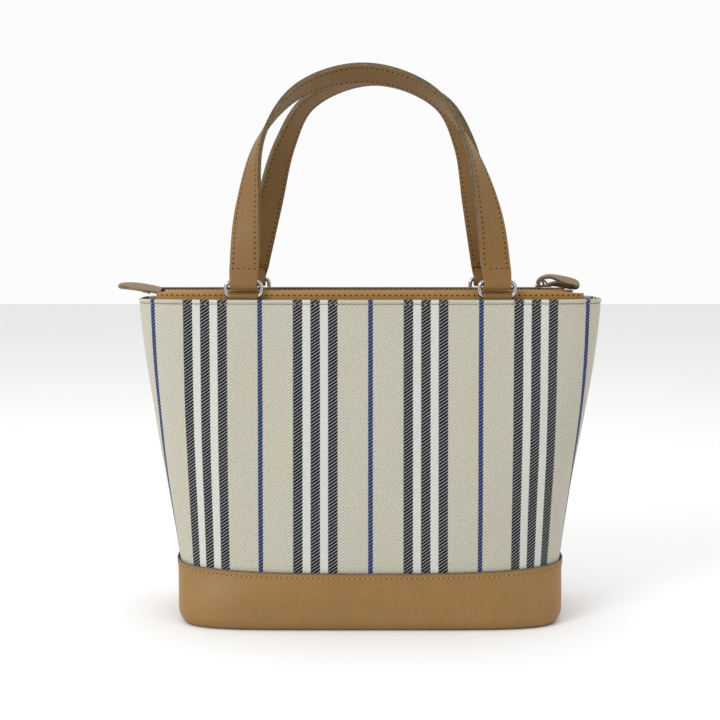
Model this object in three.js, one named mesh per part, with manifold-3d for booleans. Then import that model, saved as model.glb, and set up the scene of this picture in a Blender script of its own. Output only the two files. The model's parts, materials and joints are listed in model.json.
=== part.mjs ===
// Striped canvas tote bag with a leather base, two leather handles on rings and a zip top.
// Millimetres. The origin is the centre of the underside, +Z is up, -Y is the front.
import * as THREE from 'three';
import { mergeVertices } from 'three/addons/utils/BufferGeometryUtils.js';
import Module from 'manifold-3d';

const wasm = await Module();
wasm.setup();

// ---- Driving dimensions ----
const GAP = 0.3;

// Body: the outside of the canvas, from the underside up to the rim.
const RIM_HEIGHT = 215;
const RIM_HALF_WIDTH = 154.4;
const RIM_HALF_DEPTH = 40;
const BASE_HALF_WIDTH = 126.8;
const BASE_HALF_DEPTH = 55.5;
const BASE_SQUARENESS = 5.4;
const WAIST_SQUARENESS = 2.7;
const RIM_SQUARENESS = 4.5;
const BOTTOM_ROLL = 8;
const BOTTOM_TUCK = 4;

const CANVAS_THICKNESS = 1.4;
const LINING_THICKNESS = 0.5;
const LINING_BELOW_RIM = 3;
const LEATHER_THICKNESS = 1.6;
const BAND_HEIGHT = 38;
const BAND_LAP = 12;
const BOARD_THICKNESS = 2;
const BOARD_MARGIN = 1.2;

// Rings, tabs and handles. A ring's opening takes the strap's width and both loops on its bars.
const RING_WIRE = 3;
const RING_SIDE_ROOM = 0.5;
const RING_OPENING = 6.6;
const RING_CORNER = 2.2;
const TAB_PLY = 1;
const TAB_LENGTH = 24;
const TAB_ROOM = 1.3;
const STRAP_WIDTH = 19;
const STRAP_PLY = 1.4;
const STRAP_RETURN = 15;
const RETURN_CLEARANCE = 3;
const HANDLE_SPREAD = 165;
const HANDLE_RISE = 136;
const HANDLE_PASSING_ROOM = 2;
const FRONT_TWIST = 120;
const BACK_TWIST = 78;

// Facing: the leather strip that stands inside each long side of the mouth, behind the tabs.
const FACING_THICKNESS = 1.5;
const FACING_FROM_SIDE = 12.4;
const FACING_RISE = 5.5;
const FACING_DEPTH = 22;
const FACING_CLEARANCE = 0.2;

// Zip.
const ZIP_FROM_FACING_END = 8;
const TAPE_HALF_WIDTH = 15;
const TAPE_THICKNESS = 0.6;
const TOOTH_PITCH = 4;
const TOOTH_REACH = 1;
const TOOTH_ROOT = 3;
const TOOTH_HEIGHT = 1.6;
const FLAP_THICKNESS = 1.2;
const FLAP_LAP = 3;
const FLAP_CLEARANCE = 1;
const SLIDER_FROM_ZIP_END = 16.5;
const SLIDER_LENGTH = 11;
const SLIDER_WIDTH = 9;
const SLIDER_PLATE = 1;
const POST_LENGTH = 2.5;
const POST_SETBACK = 2;
const BRIDGE_HEIGHT = 3.6;
const BRIDGE_HALF_LENGTH = 4;
const BRIDGE_WIDTH = 2;
const PULL_WIRE = 1.4;
const PULL_LINK_LENGTH = 6;
const PULL_LINK_CORNER = 0.9;
const PULL_SIDE_ROOM = 0.35;
const PULL_RISE_ANGLE = 25;
const THONG_DROOP_ANGLE = -8;
const THONG_PLY = 1.2;
const THONG_WIDTH = 7;
const THONG_LENGTH = 19;
const TAIL_FROM_SIDE = 2.4;
const TAIL_HALF_WIDTH = 12;
const END_TAB_LENGTH = 18.5;
const END_TAB_PLY = 1;
const END_TAB_SWING_ROOM = 2;

// ---- Sizes and places that follow from them ----
const RING_WIDTH = STRAP_WIDTH + 2 * (RING_SIDE_ROOM + RING_WIRE);
const RING_HEIGHT = RING_OPENING + 2 * RING_WIRE;
const TAB_LOOP_RADIUS = RING_WIRE / 2 + GAP + TAB_PLY;
const RING_INSET = CANVAS_THICKNESS + TAB_LOOP_RADIUS + TAB_ROOM;
const FACING_INSET = RING_INSET + TAB_LOOP_RADIUS + FACING_CLEARANCE;
const LOWER_BAR_Z = RIM_HEIGHT + GAP + RING_WIRE / 2;
const UPPER_BAR_Z = LOWER_BAR_Z + RING_HEIGHT - RING_WIRE;
const RING_Y = RIM_HALF_DEPTH - RING_INSET;
const HANDLE_TOP_GAP = STRAP_WIDTH + HANDLE_PASSING_ROOM;
const FACING_HALF_LENGTH = RIM_HALF_WIDTH - FACING_FROM_SIDE;
const ZIP_HALF_LENGTH = FACING_HALF_LENGTH - ZIP_FROM_FACING_END;
const SLIDER_X = ZIP_HALF_LENGTH - SLIDER_FROM_ZIP_END;
const PULL_LINK_WIDTH = THONG_WIDTH + 2 * (PULL_WIRE + PULL_SIDE_ROOM);
const TAIL_REACH = RIM_HALF_WIDTH - TAIL_FROM_SIDE;
const TAPE_Z = RIM_HEIGHT + FACING_RISE - FLAP_THICKNESS - GAP - TAPE_THICKNESS;
const TAPE_TOP = TAPE_Z + TAPE_THICKNESS;
const FLAP_Z = TAPE_TOP + GAP;
const TEETH_Z = TAPE_TOP + GAP;
const TAPE_EDGE = 1.3;
const LINING_OFFSET = CANVAS_THICKNESS + GAP;
const BOARD_Z = LEATHER_THICKNESS + GAP;
const LINING_BASE_Z = BOARD_Z + BOARD_THICKNESS + GAP;

const canvasMaterial = { color: 0xc5c2b3, roughness: 0.9, metalness: 0 };
const leatherMaterial = { color: 0x94713f, roughness: 0.55, metalness: 0 };
const liningMaterial = { color: 0x23262f, roughness: 0.9, metalness: 0 };
const boardMaterial = { color: 0x6b6257, roughness: 0.95, metalness: 0 };
const metalMaterial = { color: 0xc9cbcd, roughness: 0.2, metalness: 1 };
const tapeMaterial = { color: 0x6e5a44, roughness: 0.85, metalness: 0 };
const coilMaterial = { color: 0x54412f, roughness: 0.5, metalness: 0 };

const bag = new THREE.Group();

function addNode(name, geometry, material) {
  const mesh = new THREE.Mesh(geometry, new THREE.MeshStandardMaterial(material));
  mesh.name = name;
  bag.add(mesh);
}

// ---- Geometry helpers ----
const lerp = THREE.MathUtils.lerp;

function indexedGeometry(positions, faces) {
  const geometry = new THREE.BufferGeometry();
  geometry.setAttribute('position', new THREE.Float32BufferAttribute(positions, 3));
  geometry.setIndex(faces);
  geometry.computeVertexNormals();
  return geometry;
}

function signedVolume(positions, faces) {
  const corner = (k) => new THREE.Vector3().fromArray(positions, faces[k] * 3);
  let total = 0;
  for (let k = 0; k < faces.length; k += 3) {
    total += corner(k).dot(corner(k + 1).cross(corner(k + 2)));
  }
  return total / 6;
}

function facingOut(positions, faces) {
  if (signedVolume(positions, faces) < 0) {
    faces.reverse();
  }
  return indexedGeometry(positions, faces);
}

// A closed sheet with thickness: point(u, v, w) places each corner, with w 0 on one face and 1 on the other.
function sheet(cellsU, cellsV, point) {
  const positions = [];
  for (const w of [0, 1]) {
    for (let j = 0; j <= cellsV; j += 1) {
      for (let i = 0; i <= cellsU; i += 1) {
        positions.push(...point(i / cellsU, j / cellsV, w).toArray());
      }
    }
  }
  const at = (i, j, w) => (w * (cellsV + 1) + j) * (cellsU + 1) + i;
  const faces = [];
  const quad = (a, b, c, d) => faces.push(a, b, c, a, c, d);
  for (let j = 0; j < cellsV; j += 1) {
    for (let i = 0; i < cellsU; i += 1) {
      quad(at(i, j, 1), at(i + 1, j, 1), at(i + 1, j + 1, 1), at(i, j + 1, 1));
      quad(at(i, j, 0), at(i, j + 1, 0), at(i + 1, j + 1, 0), at(i + 1, j, 0));
    }
    quad(at(0, j, 0), at(0, j, 1), at(0, j + 1, 1), at(0, j + 1, 0));
    quad(at(cellsU, j, 0), at(cellsU, j + 1, 0), at(cellsU, j + 1, 1), at(cellsU, j, 1));
  }
  for (let i = 0; i < cellsU; i += 1) {
    quad(at(i, 0, 0), at(i + 1, 0, 0), at(i + 1, 0, 1), at(i, 0, 1));
    quad(at(i, cellsV, 0), at(i, cellsV, 1), at(i + 1, cellsV, 1), at(i + 1, cellsV, 0));
  }
  return facingOut(positions, faces);
}

// A round wire bent into a closed loop; each station has a point and the loop's outward normal there.
function wireLoop(stations, planeNormal, radius, sides = 8) {
  const positions = [];
  for (const { point, outward } of stations) {
    for (let k = 0; k < sides; k += 1) {
      const angle = (2 * Math.PI * (k + 0.5)) / sides;
      const corner = point.clone().addScaledVector(outward, radius * Math.cos(angle));
      positions.push(...corner.addScaledVector(planeNormal, radius * Math.sin(angle)).toArray());
    }
  }
  const count = stations.length;
  const at = (i, k) => (i % count) * sides + (k % sides);
  const faces = [];
  for (let i = 0; i < count; i += 1) {
    for (let k = 0; k < sides; k += 1) {
      faces.push(at(i, k), at(i + 1, k), at(i + 1, k + 1));
      faces.push(at(i, k), at(i + 1, k + 1), at(i, k + 1));
    }
  }
  return facingOut(positions, faces);
}

// Stations of a rounded rectangle in the plane of the axes `across` and `along`.
function roundedLoop(centre, across, along, halfWidth, halfHeight, corner) {
  const stations = [];
  for (let quarter = 0; quarter < 4; quarter += 1) {
    const signX = quarter === 0 || quarter === 3 ? 1 : -1;
    const signZ = quarter < 2 ? 1 : -1;
    for (let step = 0; step <= 3; step += 1) {
      const angle = (Math.PI / 2) * (quarter + step / 3);
      const outward = across.clone().multiplyScalar(Math.cos(angle)).addScaledVector(along, Math.sin(angle));
      const point = centre.clone()
        .addScaledVector(across, signX * (halfWidth - corner))
        .addScaledVector(along, signZ * (halfHeight - corner))
        .addScaledVector(outward, corner);
      stations.push({ point, outward });
    }
  }
  return stations;
}

function solidOf(geometry) {
  const bare = geometry.clone();
  bare.deleteAttribute('normal');
  bare.deleteAttribute('uv');
  const merged = mergeVertices(bare, 1e-4);
  return new wasm.Manifold(new wasm.Mesh({
    numProp: 3,
    vertProperties: new Float32Array(merged.attributes.position.array),
    triVerts: new Uint32Array(merged.index.array),
  }));
}

function joined(geometries) {
  const mesh = geometries.map(solidOf).reduce((sum, solid) => sum.add(solid)).getMesh();
  return indexedGeometry(Array.from(mesh.vertProperties), Array.from(mesh.triVerts));
}

function boxBetween(low, high) {
  const geometry = new THREE.BoxGeometry(high[0] - low[0], high[1] - low[1], high[2] - low[2]);
  return geometry.translate((low[0] + high[0]) / 2, (low[1] + high[1]) / 2, (low[2] + high[2]) / 2);
}

// ---- The body's plan outline at each height ----
function squareness(z) {
  if (z < BAND_HEIGHT) {
    return lerp(BASE_SQUARENESS, WAIST_SQUARENESS, THREE.MathUtils.smoothstep(z, 0, BAND_HEIGHT));
  }
  return lerp(WAIST_SQUARENESS, RIM_SQUARENESS, THREE.MathUtils.smoothstep(z, BAND_HEIGHT, RIM_HEIGHT));
}

// The share of the way from the base's plan size to the rim's, eased at both ends.
function flare(z) {
  const t = z / RIM_HEIGHT;
  return (t + THREE.MathUtils.smoothstep(t, 0, 1)) / 2;
}

function halfWidth(z) {
  return lerp(BASE_HALF_WIDTH, RIM_HALF_WIDTH, flare(z));
}

function halfDepth(z) {
  return lerp(BASE_HALF_DEPTH, RIM_HALF_DEPTH, flare(z));
}

// How far the wall rolls in under itself at its bottom edge.
function tuck(z) {
  return BOTTOM_TUCK * (1 - Math.min(z / BOTTOM_ROLL, 1)) ** 2;
}

const OUTLINE_SAMPLES = 720;
const outlines = new Map();

// Points and outward normals round the outline, from +X towards +Y, with the run of length at each.
function outlineAt(z) {
  if (outlines.has(z)) {
    return outlines.get(z);
  }
  const [a, b, n] = [halfWidth(z), halfDepth(z), squareness(z)];
  const points = [];
  let run = 0;
  for (let k = 0; k <= OUTLINE_SAMPLES; k += 1) {
    const angle = (2 * Math.PI * k) / OUTLINE_SAMPLES;
    const [cos, sin] = [Math.cos(angle), Math.sin(angle)];
    const radius = (Math.abs(cos / a) ** n + Math.abs(sin / b) ** n) ** (-1 / n);
    const [x, y] = [radius * cos, radius * sin];
    const slopeX = (Math.abs(x / a) ** (n - 1) / a) * Math.sign(x);
    const slopeY = (Math.abs(y / b) ** (n - 1) / b) * Math.sign(y);
    const scale = Math.hypot(slopeX, slopeY);
    if (k > 0) {
      run += Math.hypot(x - points[k - 1].x, y - points[k - 1].y);
    }
    points.push({ x, y, nx: slopeX / scale, ny: slopeY / scale, run });
  }
  outlines.set(z, points);
  return points;
}

// The place a share s of the way round the outline, moved out by `offset`.
function around(s, z, offset) {
  const points = outlineAt(z);
  const target = s * points[OUTLINE_SAMPLES].run;
  let k = 1;
  while (k < OUTLINE_SAMPLES && points[k].run < target) {
    k += 1;
  }
  const [p, q] = [points[k - 1], points[k]];
  const t = (target - p.run) / (q.run - p.run);
  const out = offset - tuck(z);
  const x = lerp(p.x, q.x, t) + out * lerp(p.nx, q.nx, t);
  const y = lerp(p.y, q.y, t) + out * lerp(p.ny, q.ny, t);
  return new THREE.Vector3(x, y, z);
}

const SEAM_SHARE = 0.0004;
const halves = { back: [SEAM_SHARE, 0.5 - SEAM_SHARE], front: [0.5 + SEAM_SHARE, 1 - SEAM_SHARE] };

const WALL_CELLS = 36;
const ROWS_ABOVE_BAND = 6;

// Every layer of the wall bends at the same heights and at the same shares, so that the layers stay parallel.
const lapZ = BAND_HEIGHT - BAND_LAP;
const levels = [0, BOTTOM_ROLL / 2, BOTTOM_ROLL, lapZ, BAND_HEIGHT];
for (let row = 1; row <= ROWS_ABOVE_BAND; row += 1) {
  levels.push(lerp(BAND_HEIGHT, RIM_HEIGHT, row / ROWS_ABOVE_BAND));
}

// Half of the wall, from one gusset seam to the other, between two heights and two offsets.
function wallHalf(half, low, high, offsets) {
  const [from, to] = halves[half];
  const rows = [low, ...levels.filter((level) => level > low && level < high), high];
  const last = rows.length - 1;
  return sheet(WALL_CELLS, last, (u, v, w) => (
    around(lerp(from, to, u), rows[Math.round(v * last)], offsets[w])
  ));
}

// A level plate with the outline's shape.
function plate(z, offset, thickness) {
  const corners = [];
  for (const [from, to] of [halves.back, halves.front]) {
    for (let k = 0; k < WALL_CELLS; k += 1) {
      const point = around(lerp(from, to, k / WALL_CELLS), z, offset);
      corners.push(new THREE.Vector2(point.x, point.y));
    }
  }
  const geometry = new THREE.ExtrudeGeometry(new THREE.Shape(corners), { depth: thickness, bevelEnabled: false });
  return geometry.translate(0, 0, z);
}

// ---- Body ----
function addBody() {
  const bandOffsets = [GAP, GAP + LEATHER_THICKNESS];
  const liningOffsets = [-LINING_OFFSET - LINING_THICKNESS, -LINING_OFFSET];
  const liningTop = RIM_HEIGHT - LINING_BELOW_RIM;
  for (const half of ['front', 'back']) {
    addNode(`base_band_${half}`, wallHalf(half, 0, BAND_HEIGHT, bandOffsets), leatherMaterial);
    addNode(`canvas_${half}`, wallHalf(half, lapZ, RIM_HEIGHT, [-CANVAS_THICKNESS, 0]), canvasMaterial);
    addNode(`lining_${half}`, wallHalf(half, LINING_BASE_Z, liningTop, liningOffsets), liningMaterial);
  }
  addNode('base_bottom', plate(0, -GAP, LEATHER_THICKNESS), leatherMaterial);
  addNode('base_board', plate(BOARD_Z, -LINING_OFFSET - BOARD_MARGIN, BOARD_THICKNESS), boardMaterial);
  const liningBaseInset = LINING_OFFSET + LINING_THICKNESS + BOARD_MARGIN;
  addNode('lining_base', plate(LINING_BASE_Z, -liningBaseInset, LINING_THICKNESS), liningMaterial);
}

// ---- Facing ----
// The share of the outline between its side point and the place where the rim's |x| is `x`.
function sideShare(x) {
  const points = outlineAt(RIM_HEIGHT);
  const k = points.findIndex((point) => point.x - FACING_INSET * point.nx < x);
  return points[k].run / points[OUTLINE_SAMPLES].run;
}

function addFacings() {
  const margin = sideShare(FACING_HALF_LENGTH);
  const heights = [RIM_HEIGHT + FACING_RISE - FACING_DEPTH, RIM_HEIGHT + FACING_RISE];
  for (const [half, from] of [['back', 0], ['front', 0.5]]) {
    const geometry = sheet(44, 1, (u, v, w) => {
      const share = from + lerp(margin, 0.5 - margin, u);
      const point = around(share, RIM_HEIGHT, -FACING_INSET - FACING_THICKNESS * w);
      return point.setZ(lerp(heights[0], heights[1], v));
    });
    addNode(`facing_${half}`, geometry, leatherMaterial);
  }
}

// ---- Folded strips ----
const LOOP_STEPS = 8;
const LOOP_START_ANGLE = -25;
const LOOP_END_ANGLE = 205;

// Stations of a strip that comes in along a leg, turns round a bar and goes back beside itself.
// `leg` points from the bar along the legs, `side` to the leg that it starts on, `across` along the bar.
function turnRound(bar, leg, side, across, ply, barRadius, legLength) {
  const radius = barRadius + GAP + ply / 2;
  const rest = (ply + GAP) / 2;
  const settle = radius * 2;
  const other = side.clone().negate();
  const place = (along, sideways, normal) => ({
    point: bar.clone().addScaledVector(leg, along).addScaledVector(side, sideways),
    across,
    normal,
  });
  const stations = [place(legLength, rest, side), place(settle, rest, side)];
  for (let step = 0; step <= LOOP_STEPS; step += 1) {
    const angle = THREE.MathUtils.degToRad(lerp(LOOP_START_ANGLE, LOOP_END_ANGLE, step / LOOP_STEPS));
    const normal = side.clone().multiplyScalar(Math.cos(angle)).addScaledVector(leg, -Math.sin(angle));
    stations.push(place(-Math.sin(angle) * radius, Math.cos(angle) * radius, normal));
  }
  stations.push(place(settle, -rest, other), place(legLength, -rest, other));
  return stations;
}

// A strip along its stations, with its thickness shared either side of them.
function strip(stations, width, thickness) {
  const last = stations.length - 1;
  return sheet(last, 1, (u, v, w) => {
    const { point, across, normal } = stations[Math.round(u * last)];
    return point.clone()
      .addScaledVector(across, (v - 0.5) * width)
      .addScaledVector(normal, (w - 0.5) * thickness);
  });
}

// ---- Tabs and rings ----
const X = new THREE.Vector3(1, 0, 0);
const Y = new THREE.Vector3(0, 1, 0);
const Z = new THREE.Vector3(0, 0, 1);
const DOWN = new THREE.Vector3(0, 0, -1);

function addTabAndRing(half, side) {
  const outward = half === 'front' ? -1 : 1;
  const x = (side === 'left' ? -1 : 1) * (HANDLE_SPREAD / 2);
  const lowerBar = new THREE.Vector3(x, outward * RING_Y, LOWER_BAR_Z);
  const tab = turnRound(lowerBar, DOWN, Y, X, TAB_PLY, RING_WIRE / 2, TAB_LENGTH);
  addNode(`tab_${half}_${side}`, strip(tab, STRAP_WIDTH, TAB_PLY), leatherMaterial);
  const centre = new THREE.Vector3(x, outward * RING_Y, (LOWER_BAR_Z + UPPER_BAR_Z) / 2);
  const halfAcross = (RING_WIDTH - RING_WIRE) / 2;
  const halfUp = (RING_HEIGHT - RING_WIRE) / 2;
  const stations = roundedLoop(centre, X, Z, halfAcross, halfUp, RING_CORNER);
  addNode(`ring_${half}_${side}`, wireLoop(stations, Y, RING_WIRE / 2), metalMaterial);
}

// ---- Handles ----
// Each arch as shares of half its spread and of its rise, from the left ring to the right one.
const FRONT_ARCH = [
  [-1, 0], [-0.97, 0.36], [-0.87, 0.69], [-0.58, 0.915], [-0.04, 1.005],
  [0.51, 0.895], [0.775, 0.67], [0.935, 0.34], [1, 0],
];
const BACK_ARCH = [
  [-1, 0], [-0.945, 0.15], [-0.845, 0.39], [-0.705, 0.68], [-0.5, 0.885], [0.04, 0.995],
  [0.58, 0.885], [0.785, 0.68], [0.89, 0.39], [0.96, 0.15], [1, 0],
];
const ARCH_STEPS = 44;
const HANDLE_LEAN = (RING_Y - HANDLE_TOP_GAP / 2) / HANDLE_RISE;

// Stations of the arch's middle line; the width turns from facing front at the rings to its twist at the top.
function archStations(arch, outward, twist) {
  const curve = new THREE.CatmullRomCurve3(arch.map(([across, up]) => new THREE.Vector3(
    (across * HANDLE_SPREAD) / 2,
    outward * (RING_Y - up * HANDLE_RISE * HANDLE_LEAN),
    UPPER_BAR_Z + up * HANDLE_RISE,
  )), false, 'centripetal');
  const stations = [];
  for (let step = 0; step <= ARCH_STEPS; step += 1) {
    const u = step / ARCH_STEPS;
    const point = curve.getPointAt(u);
    const tangent = curve.getTangentAt(u);
    const front = new THREE.Vector3(0, outward, 0);
    front.addScaledVector(tangent, -front.dot(tangent)).normalize();
    const inward = tangent.clone().cross(front).multiplyScalar(-outward);
    const rise = 1 - Math.abs(2 * u - 1);
    const turn = THREE.MathUtils.degToRad(twist) * THREE.MathUtils.smoothstep(rise ** 0.8, 0, 1);
    const across = inward.clone().multiplyScalar(Math.cos(turn)).addScaledVector(front, Math.sin(turn));
    const normal = front.clone().multiplyScalar(Math.cos(turn)).addScaledVector(inward, -Math.sin(turn));
    stations.push({ point, across, normal, run: u * curve.getLength() });
  }
  return stations;
}

function moved(stations, offset) {
  return stations.map(({ point, across, normal }) => ({
    point: point.clone().addScaledVector(normal, offset),
    across,
    normal,
  }));
}

// The loop at an arch's foot, square to the ring's bar, from its short return to the outside of the arch.
function footLoop(bar, outward, across) {
  const up = new THREE.Vector3(0, -outward * HANDLE_LEAN, 1).normalize();
  const inside = new THREE.Vector3(0, -outward, -HANDLE_LEAN).normalize();
  return turnRound(bar, up, inside, across, STRAP_PLY, RING_WIRE / 2, STRAP_RETURN).slice(0, -1);
}

function addHandle(half, arch, twist) {
  const outward = half === 'front' ? -1 : 1;
  const middle = archStations(arch, outward, twist);
  const length = middle[ARCH_STEPS].run;
  const clearOf = (margin) => middle.filter(({ run }) => run > margin && run < length - margin);
  const offset = (STRAP_PLY + GAP) / 2;
  const outer = [
    ...footLoop(middle[0].point, outward, X),
    ...moved(clearOf(STRAP_RETURN / 2), offset),
    ...footLoop(middle[ARCH_STEPS].point, outward, X.clone().negate()).reverse(),
  ];
  addNode(`${half}_handle_outer`, strip(outer, STRAP_WIDTH, STRAP_PLY), leatherMaterial);
  const inner = moved(clearOf(STRAP_RETURN + RETURN_CLEARANCE), -offset);
  addNode(`${half}_handle_inner`, strip(inner, STRAP_WIDTH, STRAP_PLY), leatherMaterial);
}

// ---- Zip ----
// The inside face of the facing, as a distance from the middle line at each x.
function facingInside(x) {
  const inset = FACING_INSET + FACING_THICKNESS;
  const points = outlineAt(RIM_HEIGHT).slice(0, OUTLINE_SAMPLES / 4 + 1);
  const k = points.findIndex((point) => point.x - inset * point.nx <= Math.abs(x) + 1e-6);
  return points[k].y - inset * points[k].ny;
}

// One side's row of teeth, reaching towards +Y; the other side's row is shifted by half a pitch.
function toothComb(shift) {
  const shape = new THREE.Shape();
  const toothWidth = TOOTH_PITCH / 2 - GAP;
  const first = -ZIP_HALF_LENGTH + TOOTH_PITCH + shift;
  const count = Math.floor((SLIDER_X - SLIDER_LENGTH / 4 - first) / TOOTH_PITCH);
  shape.moveTo(first, -TOOTH_ROOT);
  for (let k = 0; k < count; k += 1) {
    const x = first + k * TOOTH_PITCH;
    shape.lineTo(x, TOOTH_REACH);
    shape.lineTo(x + toothWidth, TOOTH_REACH);
    shape.lineTo(x + toothWidth, -TOOTH_REACH - GAP);
    shape.lineTo(x + TOOTH_PITCH, -TOOTH_REACH - GAP);
  }
  shape.lineTo(first + count * TOOTH_PITCH, -TOOTH_ROOT);
  return new THREE.ExtrudeGeometry(shape, { depth: TOOTH_HEIGHT, bevelEnabled: false });
}

function addZipHalf(half) {
  const outward = half === 'front' ? -1 : 1;
  const flapInner = TAPE_HALF_WIDTH - FLAP_LAP;
  const flap = sheet(24, 1, (u, v, w) => {
    const x = lerp(-ZIP_HALF_LENGTH, ZIP_HALF_LENGTH, u);
    const y = lerp(flapInner, facingInside(x) - FLAP_CLEARANCE, v);
    return new THREE.Vector3(x, outward * y, FLAP_Z + w * FLAP_THICKNESS);
  });
  addNode(`zip_flap_${half}`, flap, leatherMaterial);
  const [near, far] = half === 'front' ? [-TAPE_HALF_WIDTH, -TAPE_EDGE] : [TAPE_EDGE, TAPE_HALF_WIDTH];
  const tape = boxBetween([-ZIP_HALF_LENGTH, near, TAPE_Z], [ZIP_HALF_LENGTH, far, TAPE_TOP]);
  addNode(`zip_tape_${half}`, tape, tapeMaterial);
  const teeth = toothComb(half === 'front' ? 0 : TOOTH_PITCH / 2);
  if (half === 'back') {
    teeth.rotateX(Math.PI).translate(0, 0, TOOTH_HEIGHT);
  }
  addNode(`zip_teeth_${half}`, teeth.translate(0, 0, TEETH_Z), coilMaterial);
}

function addZipTail() {
  const inner = -ZIP_HALF_LENGTH - GAP;
  const low = [-TAIL_REACH, -TAIL_HALF_WIDTH, TAPE_Z];
  addNode('zip_tail_tape', boxBetween(low, [inner, TAIL_HALF_WIDTH, TAPE_TOP]), tapeMaterial);
  const coilLow = [-TAIL_REACH + END_TAB_SWING_ROOM, -TOOTH_ROOT, TEETH_Z];
  addNode('zip_tail_coil', boxBetween(coilLow, [inner, TOOTH_ROOT, TEETH_Z + TOOTH_HEIGHT]), coilMaterial);
}

// The leather end of the zip folds over the last of the tape, outside the bag's side.
function addEndTab() {
  const fold = new THREE.Vector3(-TAIL_REACH - END_TAB_LENGTH, 0, (TAPE_Z + TAPE_TOP) / 2);
  const inner = TAPE_THICKNESS / 2 + GAP;
  const middle = inner + END_TAB_PLY / 2;
  const length = END_TAB_LENGTH - GAP;
  const station = (along, up, normal) => ({
    point: fold.clone().addScaledVector(X, along).addScaledVector(Z, up),
    across: Y,
    normal,
  });
  const stations = [station(length, middle, Z), station(length / 2, middle, Z)];
  for (let step = 0; step <= 6; step += 1) {
    const angle = (Math.PI * step) / 6;
    const normal = Z.clone().multiplyScalar(Math.cos(angle)).addScaledVector(X, -Math.sin(angle));
    stations.push(station(-Math.sin(angle) * middle, Math.cos(angle) * middle, normal));
  }
  stations.push(station(length / 2, -middle, DOWN), station(length, -middle, DOWN));
  addNode('zip_end_tab', strip(stations, 2 * TAIL_HALF_WIDTH, END_TAB_PLY), leatherMaterial);
  const low = [fold.x, GAP - TAIL_HALF_WIDTH, TAPE_Z];
  const high = [-TAIL_REACH - GAP, TAIL_HALF_WIDTH - GAP, TAPE_TOP];
  addNode('zip_end_tape', boxBetween(low, high), tapeMaterial);
}

function addSlider() {
  const teethTop = TEETH_Z + TOOTH_HEIGHT;
  const [left, right] = [SLIDER_X - SLIDER_LENGTH / 2, SLIDER_X + SLIDER_LENGTH / 2];
  const half = SLIDER_WIDTH / 2;
  const upper = [teethTop + GAP, teethTop + GAP + SLIDER_PLATE];
  const lower = [TAPE_Z - GAP - SLIDER_PLATE, TAPE_Z - GAP];
  const post = TAPE_EDGE - GAP;
  const postEnd = right - POST_SETBACK;
  const bridge = new THREE.Shape();
  bridge.moveTo(-BRIDGE_HALF_LENGTH, -SLIDER_PLATE / 2);
  bridge.lineTo(BRIDGE_HALF_LENGTH, -SLIDER_PLATE / 2);
  bridge.absellipse(0, 0, BRIDGE_HALF_LENGTH, BRIDGE_HEIGHT, 0, Math.PI, false, 0);
  const hole = new THREE.Path();
  hole.absarc(0, BRIDGE_HEIGHT / 2, PULL_WIRE / 2 + GAP, 0, 2 * Math.PI, true);
  bridge.holes.push(hole);
  const arch = new THREE.ExtrudeGeometry(bridge, {
    depth: BRIDGE_WIDTH, bevelEnabled: false, curveSegments: 8,
  });
  arch.rotateX(Math.PI / 2).translate(SLIDER_X, BRIDGE_WIDTH / 2, upper[1]);
  addNode('zip_slider', joined([
    boxBetween([left, -half, upper[0]], [right, half, upper[1]]),
    boxBetween([left, -half, lower[0]], [right, half, lower[1]]),
    boxBetween([postEnd - POST_LENGTH, -post, lower[0]], [postEnd, post, upper[1]]),
    arch,
  ]), metalMaterial);
}

// The pull: a metal link through the slider's bridge and a leather thong folded round its far bar.
function addPull() {
  const pivotZ = TEETH_Z + TOOTH_HEIGHT + GAP + SLIDER_PLATE + BRIDGE_HEIGHT / 2;
  const pitch = THREE.MathUtils.degToRad(PULL_RISE_ANGLE);
  const along = new THREE.Vector3(Math.cos(pitch), 0, Math.sin(pitch));
  const pivot = new THREE.Vector3(SLIDER_X, 0, pivotZ);
  const centre = pivot.clone().addScaledVector(along, PULL_LINK_LENGTH / 2);
  const across = (PULL_LINK_WIDTH - PULL_WIRE) / 2;
  const stations = roundedLoop(centre, Y, along, across, PULL_LINK_LENGTH / 2, PULL_LINK_CORNER);
  const planeNormal = new THREE.Vector3(-Math.sin(pitch), 0, Math.cos(pitch));
  addNode('pull_link', wireLoop(stations, planeNormal, PULL_WIRE / 2, 6), metalMaterial);
  const bar = pivot.clone().addScaledVector(along, PULL_LINK_LENGTH);
  const droop = THREE.MathUtils.degToRad(THONG_DROOP_ANGLE);
  const leg = new THREE.Vector3(Math.cos(droop), 0, Math.sin(droop));
  const top = new THREE.Vector3(-Math.sin(droop), 0, Math.cos(droop));
  const thong = turnRound(bar, leg, top, Y, THONG_PLY, PULL_WIRE / 2, THONG_LENGTH);
  addNode('pull_thong', strip(thong, THONG_WIDTH, THONG_PLY), leatherMaterial);
}

addBody();
addFacings();
for (const half of ['front', 'back']) {
  for (const side of ['left', 'right']) {
    addTabAndRing(half, side);
  }
  addZipHalf(half);
}
addHandle('front', FRONT_ARCH, FRONT_TWIST);
addHandle('back', BACK_ARCH, BACK_TWIST);
addZipTail();
addEndTab();
addSlider();
addPull();

export default bag;
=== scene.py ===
"""A striped canvas tote bag: leather base, twisted leather handles on rings, and a zip across its mouth.

Laid out as an add-on: every group of pieces has its own operator, and main() calls them in order.
"""
import json
import math

import bpy
import numpy as np
from mathutils import Matrix, Vector, noise


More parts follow.
